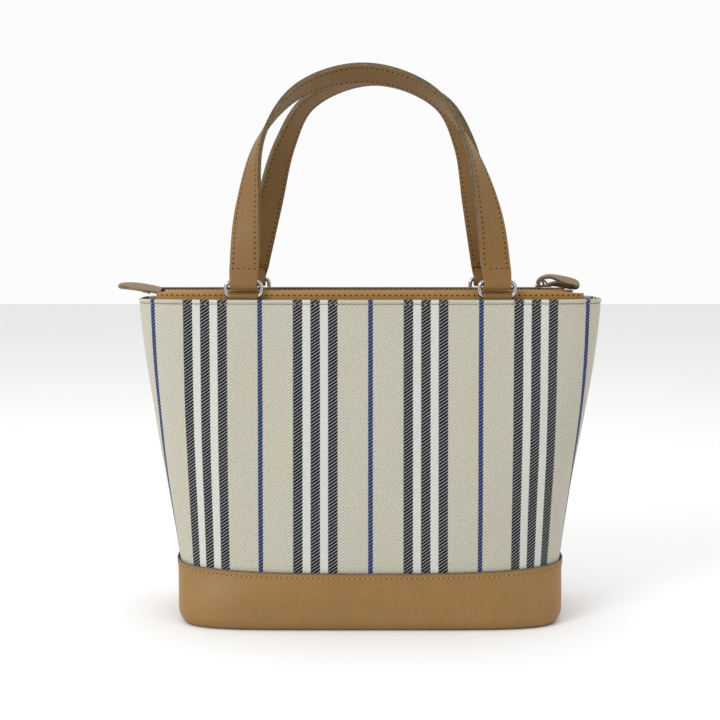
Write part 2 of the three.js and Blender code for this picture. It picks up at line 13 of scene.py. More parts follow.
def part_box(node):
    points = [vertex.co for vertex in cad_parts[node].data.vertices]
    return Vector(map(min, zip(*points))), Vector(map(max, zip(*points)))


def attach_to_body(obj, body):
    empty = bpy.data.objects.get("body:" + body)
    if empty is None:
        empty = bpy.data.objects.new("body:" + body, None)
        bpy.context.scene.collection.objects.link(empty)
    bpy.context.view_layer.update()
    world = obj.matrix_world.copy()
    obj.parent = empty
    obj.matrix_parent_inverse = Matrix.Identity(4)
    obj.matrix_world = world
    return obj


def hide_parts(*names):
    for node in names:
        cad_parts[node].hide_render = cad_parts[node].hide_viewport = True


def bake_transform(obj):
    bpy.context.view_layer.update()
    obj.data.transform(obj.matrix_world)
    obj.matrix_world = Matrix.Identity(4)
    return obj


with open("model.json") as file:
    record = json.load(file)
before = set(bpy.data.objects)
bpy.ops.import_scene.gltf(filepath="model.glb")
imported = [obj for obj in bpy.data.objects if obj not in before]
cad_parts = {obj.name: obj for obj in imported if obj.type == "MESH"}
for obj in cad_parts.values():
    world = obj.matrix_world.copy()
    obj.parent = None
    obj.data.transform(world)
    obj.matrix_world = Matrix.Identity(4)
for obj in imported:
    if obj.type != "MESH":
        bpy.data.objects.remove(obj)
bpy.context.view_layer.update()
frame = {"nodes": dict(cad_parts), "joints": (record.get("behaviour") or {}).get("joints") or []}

bl_info = {
    "name": "Striped Tote Bag",
    "version": (1, 0, 0),
    "blender": (4, 5, 0),
    "location": "3D View > Sidebar > Tote",
    "description": "Builds a striped canvas tote with leather trim round its packed frame",
    "category": "Object",
}

MM = 0.001

# ---- Places read from the frame ----
CANVAS_LOW, CANVAS_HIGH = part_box("canvas_front")
FACING_LOW, FACING_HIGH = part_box("facing_front")
FLAP_LOW, FLAP_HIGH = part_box("zip_flap_front")
TAPE_LOW, TAPE_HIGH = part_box("zip_tape_front")
SLIDER_LOW, SLIDER_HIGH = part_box("zip_slider")
TAIL_LOW, TAIL_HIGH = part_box("zip_tail_tape")
RING_LOW, RING_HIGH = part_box("ring_front_left")
RIM_Z = CANVAS_HIGH.z
BAND_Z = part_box("base_band_front")[1].z
HALVES = (("front", -1), ("back", 1))
SIDES = (("left", -1), ("right", 1))
HALF_START = {"back": 0.0, "front": 0.5}
SEAM_SHARE = 0.0004


def joint_named(name):
    """The frame's joint of that name."""
    return next(joint for joint in frame["joints"] if joint["name"] == name)


RING_PIVOT = Vector(joint_named("ring_front_left_swing")["pos_m"])
STRAP_PIVOT = Vector(joint_named("front_handle_fold")["pos_m"])
PULL_PIVOT = Vector(joint_named("pull_swing")["pos_m"])


# ---- Sizes and colours a maker would change ----
def length(name, description, default):
    """A length property in metres."""
    return bpy.props.FloatProperty(name=name, description=description, default=default, min=0,
                                   subtype="DISTANCE", unit="LENGTH", precision=5)


def colour(name, description, default):
    """A linear colour property."""
    return bpy.props.FloatVectorProperty(name=name, description=description, default=default,
                                         size=3, min=0, max=1, subtype="COLOR")


class ToteSizes(bpy.types.PropertyGroup):
    """Sizes of the cloth's pattern, the sewing and the soft edges."""
    stripe_period: length("Stripe period", "From one blue line to the next", 0.0718)
    navy_width: length("Navy band", "Width of each navy band", 0.0062)
    navy_spacing: length("Navy spacing", "From one navy band to the next in a group of three", 0.0114)
    blue_width: length("Blue line", "Width of the blue line", 0.0031)
    twill_pitch: length("Twill pitch", "From one diagonal of the twill to the next, up the cloth", 0.0022)
    hem_drop: length("Hem stitch drop", "From the rim down to the hem's stitches", 0.0028)
    stitch_pitch: length("Stitch pitch", "From one stitch to the next", 0.0034)
    thread: length("Thread", "Thickness of the sewing thread", 0.00055)
    strap_width: length("Strap width", "Width of the handles", 0.019)
    strap_ply: length("Strap ply", "Thickness of each leather ply of a handle", 0.00145)
    facing_pitch: length("Facing stitch pitch", "From one stitch to the next on the facings", 0.0037)
    weave_pitch: length("Weave pitch", "From one cross diagonal of the ground to the next", 0.00135)
    stitch_inset: length("Stitch inset", "From a strap's edge to its stitches", 0.0024)
    coil_pitch: length("Coil pitch", "From one loop of the zip's coil to the next", 0.00145)


class ToteColours(bpy.types.PropertyGroup):
    """Colours of the finishes, in linear light."""
    beige: colour("Beige cloth", "Ground of the canvas", (0.496, 0.482, 0.404))
    white: colour("White cloth", "White stripes between the navy bands", (0.595, 0.60, 0.557))
    navy: colour("Navy yarn", "Dark yarn of the bands", (0.003, 0.004, 0.011))
    blue: colour("Blue yarn", "Yarn of the single lines", (0.006, 0.022, 0.125))
    leather: colour("Leather", "Tan leather", (0.285, 0.150, 0.038))
    strap: colour("Strap leather", "Leather of the handles and the zip's flaps", (0.207, 0.104, 0.0195))
    edge_paint: colour("Edge paint", "Painted edges of the leather", (0.115, 0.078, 0.034))
    thread: colour("Thread", "Sewing thread on leather", (0.46, 0.30, 0.12))
    hem_thread: colour("Hem thread", "Sewing thread on the rim", (0.36, 0.30, 0.19))
    lining: colour("Lining", "Dark lining", (0.018, 0.02, 0.028))
    tape: colour("Zip tape", "Woven zip tape", (0.17, 0.098, 0.038))
    coil: colour("Zip coil", "Nylon coil", (0.47, 0.30, 0.135))
    metal: colour("Metal", "Polished nickel", (0.50, 0.49, 0.475))


# ---- Shader maths ----
class Wire:
    """A node's output that arithmetic can be written on."""

    def __init__(self, nodes, socket):
        self.nodes = nodes
        self.socket = socket

    def maths(self, operation, *values):
        """A Math node on this value and others."""
        return self.nodes.node("ShaderNodeMath", {"operation": operation}, *values)

    def __add__(self, other):
        return self.maths("ADD", self, other)

    def __radd__(self, other):
        return self.maths("ADD", other, self)

    def __sub__(self, other):
        return self.maths("SUBTRACT", self, other)

    def __rsub__(self, other):
        return self.maths("SUBTRACT", other, self)

    def __mul__(self, other):
        return self.maths("MULTIPLY", self, other)

    def __truediv__(self, other):
        return self.maths("DIVIDE", self, other)

    def fract(self):
        """The part after the decimal point."""
        return self.maths("FRACT", self)

    def size(self):
        """The value without its sign."""
        return self.maths("ABSOLUTE", self)

    def least(self, other):
        """The smaller of two values."""
        return self.maths("MINIMUM", self, other)

    def most(self, other):
        """The larger of two values."""
        return self.maths("MAXIMUM", self, other)

    def ramp(self, low, high):
        """0 at low and 1 at high, with an eased run between them."""
        return self.nodes.node("ShaderNodeMapRange", {"interpolation_type": "SMOOTHSTEP"},
                               self, low, high, 0.0, 1.0)


class Nodes:
    """The nodes of a tree, made and linked one after the other."""

    def __init__(self, tree):
        self.tree = tree

    def put(self, socket, value):
        """Link a wire to a socket, or set the socket's own value."""
        if isinstance(value, Wire):
            self.tree.links.new(value.socket, socket)
        elif socket.type == "RGBA":
            socket.default_value = (*value[:3], 1.0)
        else:
            socket.default_value = value

    def node(self, kind, settings, *values, **named):
        """A new node with its settings, then its sockets in order, then its named sockets."""
        made = self.tree.nodes.new(kind)
        for key, value in settings.items():
            setattr(made, key, value)
        for socket, value in zip(made.inputs, values):
            self.put(socket, value)
        for key, value in named.items():
            self.put(made.inputs[key], value)
        return Wire(self, made.outputs[0])

    def place(self, kind="Object"):
        """The texture coordinate of that kind."""
        made = self.tree.nodes.new("ShaderNodeTexCoord")
        return Wire(self, made.outputs[kind])

    def axes(self, vector):
        """The three numbers of a vector."""
        made = self.tree.nodes.new("ShaderNodeSeparateXYZ")
        self.put(made.inputs[0], vector)
        return [Wire(self, socket) for socket in made.outputs]

    def noise(self, vector, scale, detail=3.0, roughness=0.55):
        """Fractal noise from 0 to 1."""
        return self.node("ShaderNodeTexNoise", {}, vector, Scale=scale, Detail=detail, Roughness=roughness)

    def cells(self, vector, scale, feature="F1"):
        """Distance to the nearest cell centre or edge."""
        return self.node("ShaderNodeTexVoronoi", {"feature": feature}, vector, Scale=scale)

    def mix(self, factor, first, second):
        """One colour turning into another as the factor goes from 0 to 1."""
        made = self.tree.nodes.new("ShaderNodeMix")
        made.data_type = "RGBA"
        for index, value in ((0, factor), (6, first), (7, second)):
            self.put(made.inputs[index], value)
        return Wire(self, made.outputs[2])


class Finish(Nodes):
    """A material under construction: a Principled surface and the nodes that feed it."""

    def __init__(self, name, constants=None):
        self.material = bpy.data.materials.new(name)
        self.material.use_nodes = True
        super().__init__(self.material.node_tree)
        self.tree.nodes.clear()
        output = self.tree.nodes.new("ShaderNodeOutputMaterial")
        self.surface = self.tree.nodes.new("ShaderNodeBsdfPrincipled")
        self.tree.links.new(self.surface.outputs[0], output.inputs[0])
        for socket, value in (constants or {}).items():
            self.surface.inputs[socket].default_value = value

    def paint(self, base):
        """Feed the base colour."""
        self.put(self.surface.inputs["Base Color"], base)

    def rough(self, value):
        """Feed the roughness."""
        self.put(self.surface.inputs["Roughness"], value)

    def relief(self, height, depth):
        """Feed the normal from a height that is worth `depth` metres."""
        bump = self.node("ShaderNodeBump", {}, Strength=1.0, Distance=depth, Height=height)
        self.put(self.surface.inputs["Normal"], bump)


def shade(tint, factor):
    """A colour made darker or lighter."""
    return tuple(min(1.0, part * factor) for part in tint)


FINISHES = {}


def canvas_finish(sizes, tints):
    """Cotton twill with woven stripes, laid out on the cloth's own flat coordinates."""
    finish = Finish("striped_canvas",
                    {"Sheen Weight": 0.05, "Sheen Roughness": 0.5, "Specular IOR Level": 0.25})
    flat = finish.place("UV")
    across, up, _ = finish.axes(flat)
    diagonal = ((up - across * 0.68) / sizes.twill_pitch).fract()
    ridge = (diagonal - 0.5).size() * 2
    crossing = ((((up + across * 0.75) / sizes.weave_pitch).fract()) - 0.5).size() * 2
    yarn = finish.noise(flat, 900.0, 2.0)
    ragged = across + (ridge - 0.5) * 0.0005 + (yarn - 0.5) * 0.0003
    in_period = (ragged / sizes.stripe_period).fract()
    from_group = (in_period - 0.5).size() * sizes.stripe_period
    from_blue = ((ragged / sizes.stripe_period + 0.5).fract() - 0.5).size() * sizes.stripe_period
    from_band = from_group.least((from_group - sizes.navy_spacing).size())
    soft = 0.0002
    band = 1 - from_band.ramp(sizes.navy_width / 2 - soft, sizes.navy_width / 2 + soft)
    white = 1 - from_group.ramp(sizes.navy_spacing - soft, sizes.navy_spacing + soft)
    line = 1 - from_blue.ramp(sizes.blue_width / 2 - soft, sizes.blue_width / 2 + soft)
    furrow = (crossing * 0.7 + ridge * 0.3 + (yarn - 0.5) * 0.5).ramp(0.15, 0.85)
    patch = finish.noise(flat, 22.0, 4.0).ramp(0.35, 0.65)
    beige = finish.mix(furrow, shade(tints.beige, 0.70), shade(tints.beige, 1.24))
    warm = tuple(part * tone for part, tone in zip(tints.beige, (1.03, 0.98, 0.90)))
    beige = finish.mix(patch * 0.5, beige, finish.mix(furrow, shade(warm, 0.72), shade(warm, 1.24)))
    pale = finish.mix(furrow, shade(tints.white, 0.84), shade(tints.white, 1.14))
    ground = finish.mix(white, beige, pale)
    tick = (ridge + (yarn - 0.5) * 0.30).ramp(0.66, 0.92)
    ground = finish.mix(band, ground, finish.mix(tick, tints.navy, shade(tints.white, 0.60)))
    blue_tick = (ridge + (yarn - 0.5) * 0.3).ramp(0.74, 0.97)
    ground = finish.mix(line, ground, finish.mix(blue_tick, tints.blue, shade(tints.beige, 0.60)))
    finish.paint(ground)
    finish.rough(0.82 + patch * 0.12)
    finish.relief(furrow * 0.5 + ridge * 0.4 + yarn * 0.35, 0.00016)
    return finish.material


def leather_finish(name, tint, grain=1.0, gloss=0.46):
    """Smooth vegetable-tanned leather with a fine pore grain and a mottled dye."""
    finish = Finish(name, {"Specular IOR Level": 0.45, "Coat Roughness": 0.35})
    spot = finish.place()
    cloud = finish.noise(spot, 38.0, 5.0)
    fine = finish.noise(spot, 420.0, 4.0, 0.6)
    pore = finish.cells(spot, 1350.0)
    crease = finish.cells(spot, 620.0, "DISTANCE_TO_EDGE")
    tone = finish.mix(cloud.ramp(0.30, 0.70), shade(tint, 0.95), shade(tint, 1.05))
    tone = finish.mix(fine.ramp(0.30, 0.75) * 0.35, tone, shade(tint, 0.80))
    tone = finish.mix((1 - crease.ramp(0.0, 0.09)) * 0.16 * grain, tone, shade(tint, 0.62))
    finish.paint(tone)
    finish.rough(gloss + cloud * 0.10 + fine * 0.08)
    finish.put(finish.surface.inputs["Coat Weight"], 0.06 + cloud * 0.05)
    finish.relief(crease.ramp(0.0, 0.16) * 0.6 + pore * 0.5 + fine * 0.7, 0.00005 * grain)
    return finish.material


def mottled_finish(name, low, high, grain, relief, gloss=None, constants=None):
    """Two shades mottled by one fractal noise, which also feeds the roughness and the relief."""
    finish = Finish(name, constants)
    cloud = finish.noise(finish.place(), *grain)
    finish.paint(finish.mix(cloud, low, high))
    if gloss:
        finish.rough(gloss[0] + cloud * gloss[1])
    finish.relief(cloud, relief)
    return finish.material


def edge_finish(tints):
    """Painted and burnished leather edge, worn lighter in places."""
    finish = Finish("edge_paint")
    wear = finish.noise(finish.place(), 260.0, 4.0)
    dark, pale = shade(tints.edge_paint, 0.8), shade(tints.edge_paint, 1.35)
    finish.paint(finish.mix(wear.ramp(0.35, 0.70), dark, pale))
    finish.rough(0.38 + wear * 0.25)
    finish.relief(wear, 0.00008)
    return finish.material


def thread_finish(name, tint):
    """Twisted sewing thread."""
    return mottled_finish(name, shade(tint, 0.72), shade(tint, 1.25), (2600.0, 2.0), 0.00006,
                          constants={"Roughness": 0.8, "Specular IOR Level": 0.1})


def lining_finish(tints):
    """Dark twill lining."""
    finish = Finish("lining_twill", {"Sheen Weight": 0.1})
    flat = finish.place("UV")
    across, up, _ = finish.axes(flat)
    ridge = (((up - across) / 0.0009).fract() - 0.5).size() * 2
    cloud = finish.noise(flat, 30.0, 4.0)
    finish.paint(finish.mix(ridge * 0.6 + cloud * 0.4, shade(tints.lining, 0.6), shade(tints.lining, 1.8)))
    finish.rough(0.78 + cloud * 0.12)
    finish.relief(ridge, 0.00008)
    return finish.material


def metal_finish(name, tint, gloss=0.16):
    """Polished plate with faint wiping marks."""
    finish = Finish(name, {"Metallic": 1.0})
    spot = finish.place()
    smear = finish.noise(spot, 180.0, 4.0)
    scratch = finish.noise(spot, 1500.0, 3.0)
    finish.paint(finish.mix(smear, shade(tint, 0.88), shade(tint, 1.05)))
    finish.rough(gloss + smear * 0.10 + scratch * 0.06)
    finish.relief(scratch, 0.00001)
    return finish.material


def tape_finish(tints):
    """Woven zip tape."""
    finish = Finish("zip_tape", {"Sheen Weight": 0.1})
    spot = finish.place()
    along, across, _ = finish.axes(spot)
    rib = ((along / 0.0007).fract() - 0.5).size() * 2
    pick = ((across / 0.0005).fract() - 0.5).size() * 2
    weave = rib.most(pick)
    cloud = finish.noise(spot, 90.0, 3.0)
    finish.paint(finish.mix(weave * 0.7 + cloud * 0.3, shade(tints.tape, 0.7), shade(tints.tape, 1.25)))
    finish.rough(0.74 + cloud * 0.12)
    finish.relief(weave, 0.0001)
    return finish.material


def coil_finish(tints):
    """Moulded nylon coil."""
    return mottled_finish("zip_coil", shade(tints.coil, 0.75), shade(tints.coil, 1.2), (240.0, 3.0), 0.00003,
                          gloss=(0.55, 0.16))


def board_finish():
    """Grey fibre board."""
    return mottled_finish("stiffener_board", (0.09, 0.07, 0.05), (0.22, 0.18, 0.13), (700.0, 5.0), 0.0001,
                          constants={"Roughness": 0.92})


def make_finishes(sizes, tints):
    """Every finish of the bag, by name."""
    FINISHES.update({
        "canvas": canvas_finish(sizes, tints),
        "leather": leather_finish("leather_tan", tints.leather),
        "leather_strap": leather_finish("leather_strap", tints.strap, 1.2, 0.5),
        # The facings' leather is the tan leather made lighter: painted light to offset the shade inside the
        # mouth.
        "leather_facing": leather_finish("leather_facing", shade(tints.leather, 1.45)),
        # Inner plies of the handles: strap leather with a coarser grain, darkened as painted shade for the
        # handle's underside.
        "leather_shaded_inner": leather_finish("leather_strap_inner_shaded", shade(tints.strap, 0.87), 1.8, 0.55),
        "leather_tail": leather_finish("leather_tail", (0.215, 0.152, 0.088), 1.3, 0.5),
        "edge": edge_finish(tints),
        "thread": thread_finish("thread_tan", tints.thread),
        "hem_thread": thread_finish("thread_beige", tints.hem_thread),
        # Needle-hole beads: near black, painted shade inside the holes.
        "hole_shade": thread_finish("needle_hole_painted_shade", (0.020, 0.009, 0.003)),
        "dull_metal": metal_finish("aged_brass", (0.36, 0.30, 0.22), 0.34),
        "lining": lining_finish(tints),
        "metal": metal_finish("polished_nickel", tints.metal),
        "tape": tape_finish(tints),
        "coil": coil_finish(tints),
        # The coil's cord is coloured near black: painted shade in the gaps between the coil's loops.
        "shaded_core": thread_finish("coil_cord_painted_shade", (0.035, 0.020, 0.009)),
        "board": board_finish(),
    })


# ---- Mesh helpers ----
def start_clean():
    """Nothing selected, object mode."""
    if bpy.context.object and bpy.context.object.mode != "OBJECT":
        bpy.ops.object.mode_set(mode="OBJECT")
    bpy.ops.object.select_all(action="DESELECT")


def select_only(piece):
    """Make a piece the selected and active one."""
    start_clean()
    bpy.context.view_layer.objects.active = piece
    piece.select_set(True)


def name_piece(name):
    """Name the new primitive and its mesh."""
    piece = bpy.context.object
    piece.name = name
    piece.data.name = name
    return piece


def read_points(mesh):
    """A mesh's vertices as an array."""
    points = np.empty(len(mesh.vertices) * 3)
    mesh.vertices.foreach_get("co", points)
    return points.reshape(-1, 3)


def write_points(mesh, points):
    """Move a mesh's vertices."""
    mesh.vertices.foreach_set("co", np.asarray(points, float).ravel())
    mesh.update()


def grid_sheet(name, cells_u, cells_v, place, flat=None):
    """A flat grid shaped onto a surface: place(u, v) takes arrays from 0 to 1 and gives points.

    flat(u, v) gives the cloth's own flat coordinates for the pattern, in metres.
    """
    start_clean()
    bpy.ops.mesh.primitive_grid_add(x_subdivisions=cells_u, y_subdivisions=cells_v, size=2,
                                    location=(0, 0, 0))
    piece = name_piece(name)
    points = read_points(piece.data)
    u, v = (points[:, 0] + 1) / 2, (points[:, 1] + 1) / 2
    write_points(piece.data, place(u, v))
    if flat is not None:
        coordinates = np.stack(flat(u, v), 1)
        corners = np.empty(len(piece.data.loops), int)
        piece.data.loops.foreach_get("vertex_index", corners)
        piece.data.uv_layers[0].data.foreach_set("uv", coordinates[corners].ravel())
    return piece


def modify(piece, kind, **settings):
    """Add a modifier and apply it."""
    select_only(piece)
    bpy.ops.object.modifier_add(type=kind)
    modifier = piece.modifiers[-1]
    for key, value in settings.items():
        setattr(modifier, key, value)
    bpy.ops.object.modifier_apply(modifier=modifier.name)


def outward_normals(piece):
    """Turn a closed piece's faces to point out."""
    select_only(piece)
    bpy.ops.object.mode_set(mode="EDIT")
    bpy.ops.mesh.select_all(action="SELECT")
    bpy.ops.mesh.normals_make_consistent(inside=False)
    bpy.ops.object.mode_set(mode="OBJECT")


def run_along(points):
    """How far along a row of points each one is."""
    return np.concatenate([[0], np.cumsum(np.linalg.norm(np.diff(points, axis=0), axis=1))])


def unit_rows(rows):
    """Rows of vectors, each made one unit long."""
    return rows / np.linalg.norm(rows, axis=1)[:, None]


def smooth(piece, angle=40):
    """Shade smooth, with sharp edges past an angle."""
    select_only(piece)
    bpy.ops.object.shade_smooth_by_angle(angle=math.radians(angle))


def thicken(piece, thickness, offset, bevel, *materials, even=True):
    """Give a sheet its thickness and soft edges; the second material goes on the cut edges."""
    for material in materials:
        piece.data.materials.append(FINISHES[material])
    modify(piece, "SOLIDIFY", thickness=thickness, offset=offset, use_even_offset=even,
           material_offset_rim=len(materials) - 1)
    outward_normals(piece)
    if bevel:
        modify(piece, "BEVEL", width=bevel, segments=2, limit_method="ANGLE", angle_limit=math.radians(50))
    smooth(piece)


def attach(piece, body, slot, *replaced):
    """Ride on a body and stand for CAD nodes; the slot is not used."""
    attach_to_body(piece, body)
    if replaced:
        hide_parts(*replaced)
    return piece


def eased(value):
    """A smooth step of an array or number from 0 to 1."""
    t = np.clip(value, 0, 1)
    return t * t * (3 - 2 * t)


# ---- The body's shape, as the CAD has it ----
RIM_HALF_WIDTH = CANVAS_HIGH.x
RIM_HALF_DEPTH = 40 * MM
BASE_HALF_WIDTH = 126.8 * MM
BASE_HALF_DEPTH = 55.5 * MM
BASE_SQUARENESS, WAIST_SQUARENESS, RIM_SQUARENESS = 5.4, 2.7, 4.5
BOTTOM_ROLL, BOTTOM_TUCK = 8 * MM, 4 * MM
OUTLINE_SAMPLES = 1440
OUTLINES = {}


def lerp(low, high, t):
    """Between two values."""
    return low + (high - low) * t


def squareness(z):
    """How boxy the plan outline is at a height."""
    if z < BAND_Z:
        return lerp(BASE_SQUARENESS, WAIST_SQUARENESS, eased(z / BAND_Z))
    return lerp(WAIST_SQUARENESS, RIM_SQUARENESS, eased((z - BAND_Z) / (RIM_Z - BAND_Z)))


def outline_at(z):
    """Points, normals and shares of the length round the plan outline at a height, and its whole length."""
    z = round(float(z), 6)
    if z not in OUTLINES:
        t = z / RIM_Z
        flare = (t + eased(t)) / 2
        wide = lerp(BASE_HALF_WIDTH, RIM_HALF_WIDTH, flare)
        deep = lerp(BASE_HALF_DEPTH, RIM_HALF_DEPTH, flare)
        power = squareness(z)
        angle = np.linspace(0, 2 * math.pi, OUTLINE_SAMPLES + 1)
        cos, sin = np.cos(angle), np.sin(angle)
        radius = (np.abs(cos / wide) ** power + np.abs(sin / deep) ** power) ** (-1 / power)
        points = np.stack([radius * cos, radius * sin], 1)
        slope = np.stack([np.abs(points[:, 0] / wide) ** (power - 1) / wide * np.sign(cos),
                          np.abs(points[:, 1] / deep) ** (power - 1) / deep * np.sign(sin)], 1)
        normals = unit_rows(slope)
        run = run_along(points)
        OUTLINES[z] = points, normals, run / run[-1], run[-1]
    return OUTLINES[z]


def girth(z):
    """The whole way round the outline at a height."""
    return outline_at(min(max(z, 0), RIM_Z))[3]


def around(shares, z, offset):
    """Points at shares of the way round the outline at one height, moved out by an offset or offsets."""
    level = min(max(z, 0), RIM_Z)
    points, normals, run, _ = outline_at(level)
    out = offset - BOTTOM_TUCK * (1 - min(level / BOTTOM_ROLL, 1)) ** 2
    x = np.interp(shares, run, points[:, 0]) + out * np.interp(shares, run, normals[:, 0])
    y = np.interp(shares, run, points[:, 1]) + out * np.interp(shares, run, normals[:, 1])
    return np.stack([x, y, np.full(len(shares), float(z))], 1)


def wall_rows(u, v, profile):
    """Each row of a wall's grid: which points it has, its height, its offset and its shares of the outline."""
    rows = np.round(v, 6)
    for row in np.unique(rows):
        chosen = rows == row
        yield chosen, *profile(float(row)), lerp(SEAM_SHARE, 0.5 - SEAM_SHARE, u[chosen])


def wall_points(half, profile, dents=None):
    """A place function for grid_sheet: profile(v) gives height and offset, and dents(shares, z) adds to it."""
    def place(u, v):
        points = np.empty((len(u), 3))
        for chosen, z, offset, shares in wall_rows(u, v, profile):
            shares = HALF_START[half] + shares
            extra = dents(shares, z) if dents else 0
            points[chosen] = around(shares, z, offset + extra)
        return points
    return place


def wall_flat(profile):
    """Flat coordinates to go with wall_points: the run round from the panel's middle, and the way up."""
    def flat(u, v):
        across, up = np.empty(len(u)), np.empty(len(u))
        for chosen, z, _, shares in wall_rows(u, v, profile):
            across[chosen] = (shares - 0.25) * girth(z)
            up[chosen] = z
        return across, up
    return flat


def cloth_dents(shares, z):
    """Slack in the cloth: broad shallow waves that fade towards the rim and the leather."""
    middle = math.sin(math.pi * min(max((z - BAND_Z) / (RIM_Z - BAND_Z), 0), 1)) ** 0.7
    values = [noise.noise(Vector((share * 22, z * 11, 3.1))) for share in shares]
    fine = [noise.noise(Vector((share * 60, z * 38, 8.4))) for share in shares]
    return (np.array(values) * 1.3 + np.array(fine) * 0.28) * MM * middle - 0.35 * MM * middle


# ---- Stitches ----
def repeated(name, source, frames, material):
    """One mesh of many copies of a small source mesh, each at its own matrix."""
    points, faces = source
    count = len(points)
    all_points, all_faces = [], []
    for index, matrix in enumerate(frames):
        moved = points @ np.array(matrix.to_3x3()).T + np.array(matrix.translation)
        all_points.append(moved)
        all_faces.extend([[corner + index * count for corner in face] for face in faces])
    mesh = bpy.data.meshes.new(name)
    mesh.from_pydata(np.concatenate(all_points).tolist(), [], all_faces)
    mesh.update()
    piece = bpy.data.objects.new(name, mesh)
    bpy.context.collection.objects.link(piece)
    mesh.materials.append(FINISHES[material])
    mesh.shade_smooth()
    return piece


def bead(segments=6, rings=5):
    """A unit ball of few faces, to be stretched into a stitch or a coil loop, its corners in a fixed order."""
    start_clean()
    bpy.ops.mesh.primitive_uv_sphere_add(segments=segments, ring_count=rings, radius=0.5, location=(0, 0, 0))
    ball = bpy.context.object
    mesh = ball.data
    points = read_points(mesh)
    order = np.lexsort(np.round(points, 4).T)
    rank = np.argsort(order)
    faces = []
    for face in mesh.polygons:
        corners = [int(rank[corner]) for corner in face.vertices]
        first = corners.index(min(corners))
        faces.append(corners[first:] + corners[:first])
    bpy.data.objects.remove(ball)
    bpy.data.meshes.remove(mesh)
    return points[order], sorted(faces)


def frame_matrix(point, along, out, size):
    """A matrix at a point with X along, Z out and the given size on each axis."""
    x = Vector(along).normalized()
    z = (Vector(out) - Vector(out).dot(x) * x).normalized()
    y = z.cross(x)
    matrix = Matrix((x * size[0], y * size[1], z * size[2])).transposed().to_4x4()
    matrix.translation = Vector(point)
    return matrix


def stitch_line(name, points, normals, sizes, thread, pitch=None, sunk=False):
    """A row of stitches along a line of points with outward normals, with a near-black bead at each needle hole
    as painted shade in the hole.

    Sunk stitches lie below the leather between wide beads of painted hole shade; the others stand on it.
    """
    points, normals = np.asarray(points, float), np.asarray(normals, float)
    run = run_along(points)
    count = max(1, int(round(run[-1] / (pitch or sizes.stitch_pitch))))
    lift = -0.28 * sizes.thread if sunk else 0.12 * sizes.thread
    hole_shade = (2.4, 2.0, 1.0) if sunk else (1.5, 1.15, 0.6)

    def at(distance, values):
        return Vector([float(np.interp(distance, run, values[:, axis])) for axis in range(3)])

    thread_frames, hole_shade_frames = [], []
    for index in range(count):
        start, end = index * run[-1] / count, (index + 1) * run[-1] / count
        first, last, middle = at(start, points), at(end, points), at((start + end) / 2, points)
        out = at((start + end) / 2, normals).normalized()
        along = last - first
        body = (along.length * 0.80, sizes.thread * 1.2, sizes.thread)
        thread_frames.append(frame_matrix(middle + out * lift, along, out, body))
        # Each needle hole gets a near-black bead: painted shade in the hole.
        hole_shade_frames.append(frame_matrix(first, along, out, [sizes.thread * part for part in hole_shade]))
    return (repeated(name, bead(), thread_frames, thread),
            repeated(f"{name}_holes", bead(6, 4), hole_shade_frames, "hole_shade"))


def sew(body, slot, *line, **options):
    """A stitch line that rides on a body."""
    for piece in stitch_line(*line, **options):
        attach(piece, body, slot)


# ---- Body pieces ----
HEM_FOLD = 9 * MM
CANVAS_CELLS, BAND_CELLS, LINING_CELLS = 220, 180, 120
BAND_PROUD = 1.9 * MM
BAND_STITCH_DROP = 3.2 * MM
LINING_INSET = 1.9 * MM
CLOTH = 0.65 * MM
LAP_Z = CANVAS_LOW.z


def hem_profile(sizes):
    """Up the outside of the cloth, over the puffed hem and down inside it."""
    stitch_z = RIM_Z - sizes.hem_drop
    stops = [(LAP_Z, -0.1 * MM), (BAND_Z, -0.1 * MM)]
    stops += [(z, 0.0) for z in np.linspace(BAND_Z + 6 * MM, stitch_z - 4 * MM, 60)]
    stops += [(stitch_z - 1.5 * MM, 0.0), (stitch_z - 0.6 * MM, -0.22 * MM), (stitch_z, -0.45 * MM)]
    stops += [(stitch_z + 0.5 * MM, -0.12 * MM), (stitch_z + 1.1 * MM, 0.28 * MM)]
    radius = 0.95 * MM
    for step in range(7):
        angle = math.pi * step / 6
        stops.append((RIM_Z - radius + math.sin(angle) * radius,
                      0.35 * MM - radius + math.cos(angle) * radius))
    stops += [(stitch_z, -1.35 * MM), (RIM_Z - HEM_FOLD, -1.4 * MM)]
    return stops


def wall_line(half, z, offset):
    """Points and outward normals along half the wall at a height."""
    shares = np.linspace(SEAM_SHARE * 4, 0.5 - SEAM_SHARE * 4, 500) + HALF_START[half]
    line = around(shares, z, offset)
    return line, around(shares, z, offset + 1 * MM) - line


def rows_on(stops):
    """A profile that visits every stop exactly, one row each."""
    stops = np.array(stops, float)
    steps = np.linspace(0, 1, len(stops))

    def profile(v):
        return float(np.interp(v, steps, stops[:, 0])), float(np.interp(v, steps, stops[:, 1]))
    return profile, len(stops) - 1


class TOTE_OT_canvas(bpy.types.Operator):
    """Make the two striped canvas panels with their folded hems"""
    bl_idname = "tote.canvas"
    bl_label = "Canvas"

    def execute(self, context):
        sizes = context.scene.tote_sizes
        stops = hem_profile(sizes)
        profile, rows = rows_on(stops)
        for half, _ in HALVES:
            panel = grid_sheet(f"canvas_panel_{half}", CANVAS_CELLS, rows,
                               wall_points(half, profile, cloth_dents), wall_flat(profile))
            thicken(panel, CLOTH, -1, 0, "canvas")
            attach(panel, "bag", "striped_canvas", f"canvas_{half}")
            wide = girth(RIM_Z) / 2
            line, normals = wall_line(half, RIM_Z - sizes.hem_drop, -0.35 * MM)
            sew("bag", "striped_canvas", f"hem_stitches_{half}", line, normals, sizes, "hem_thread")
        return {"FINISHED"}


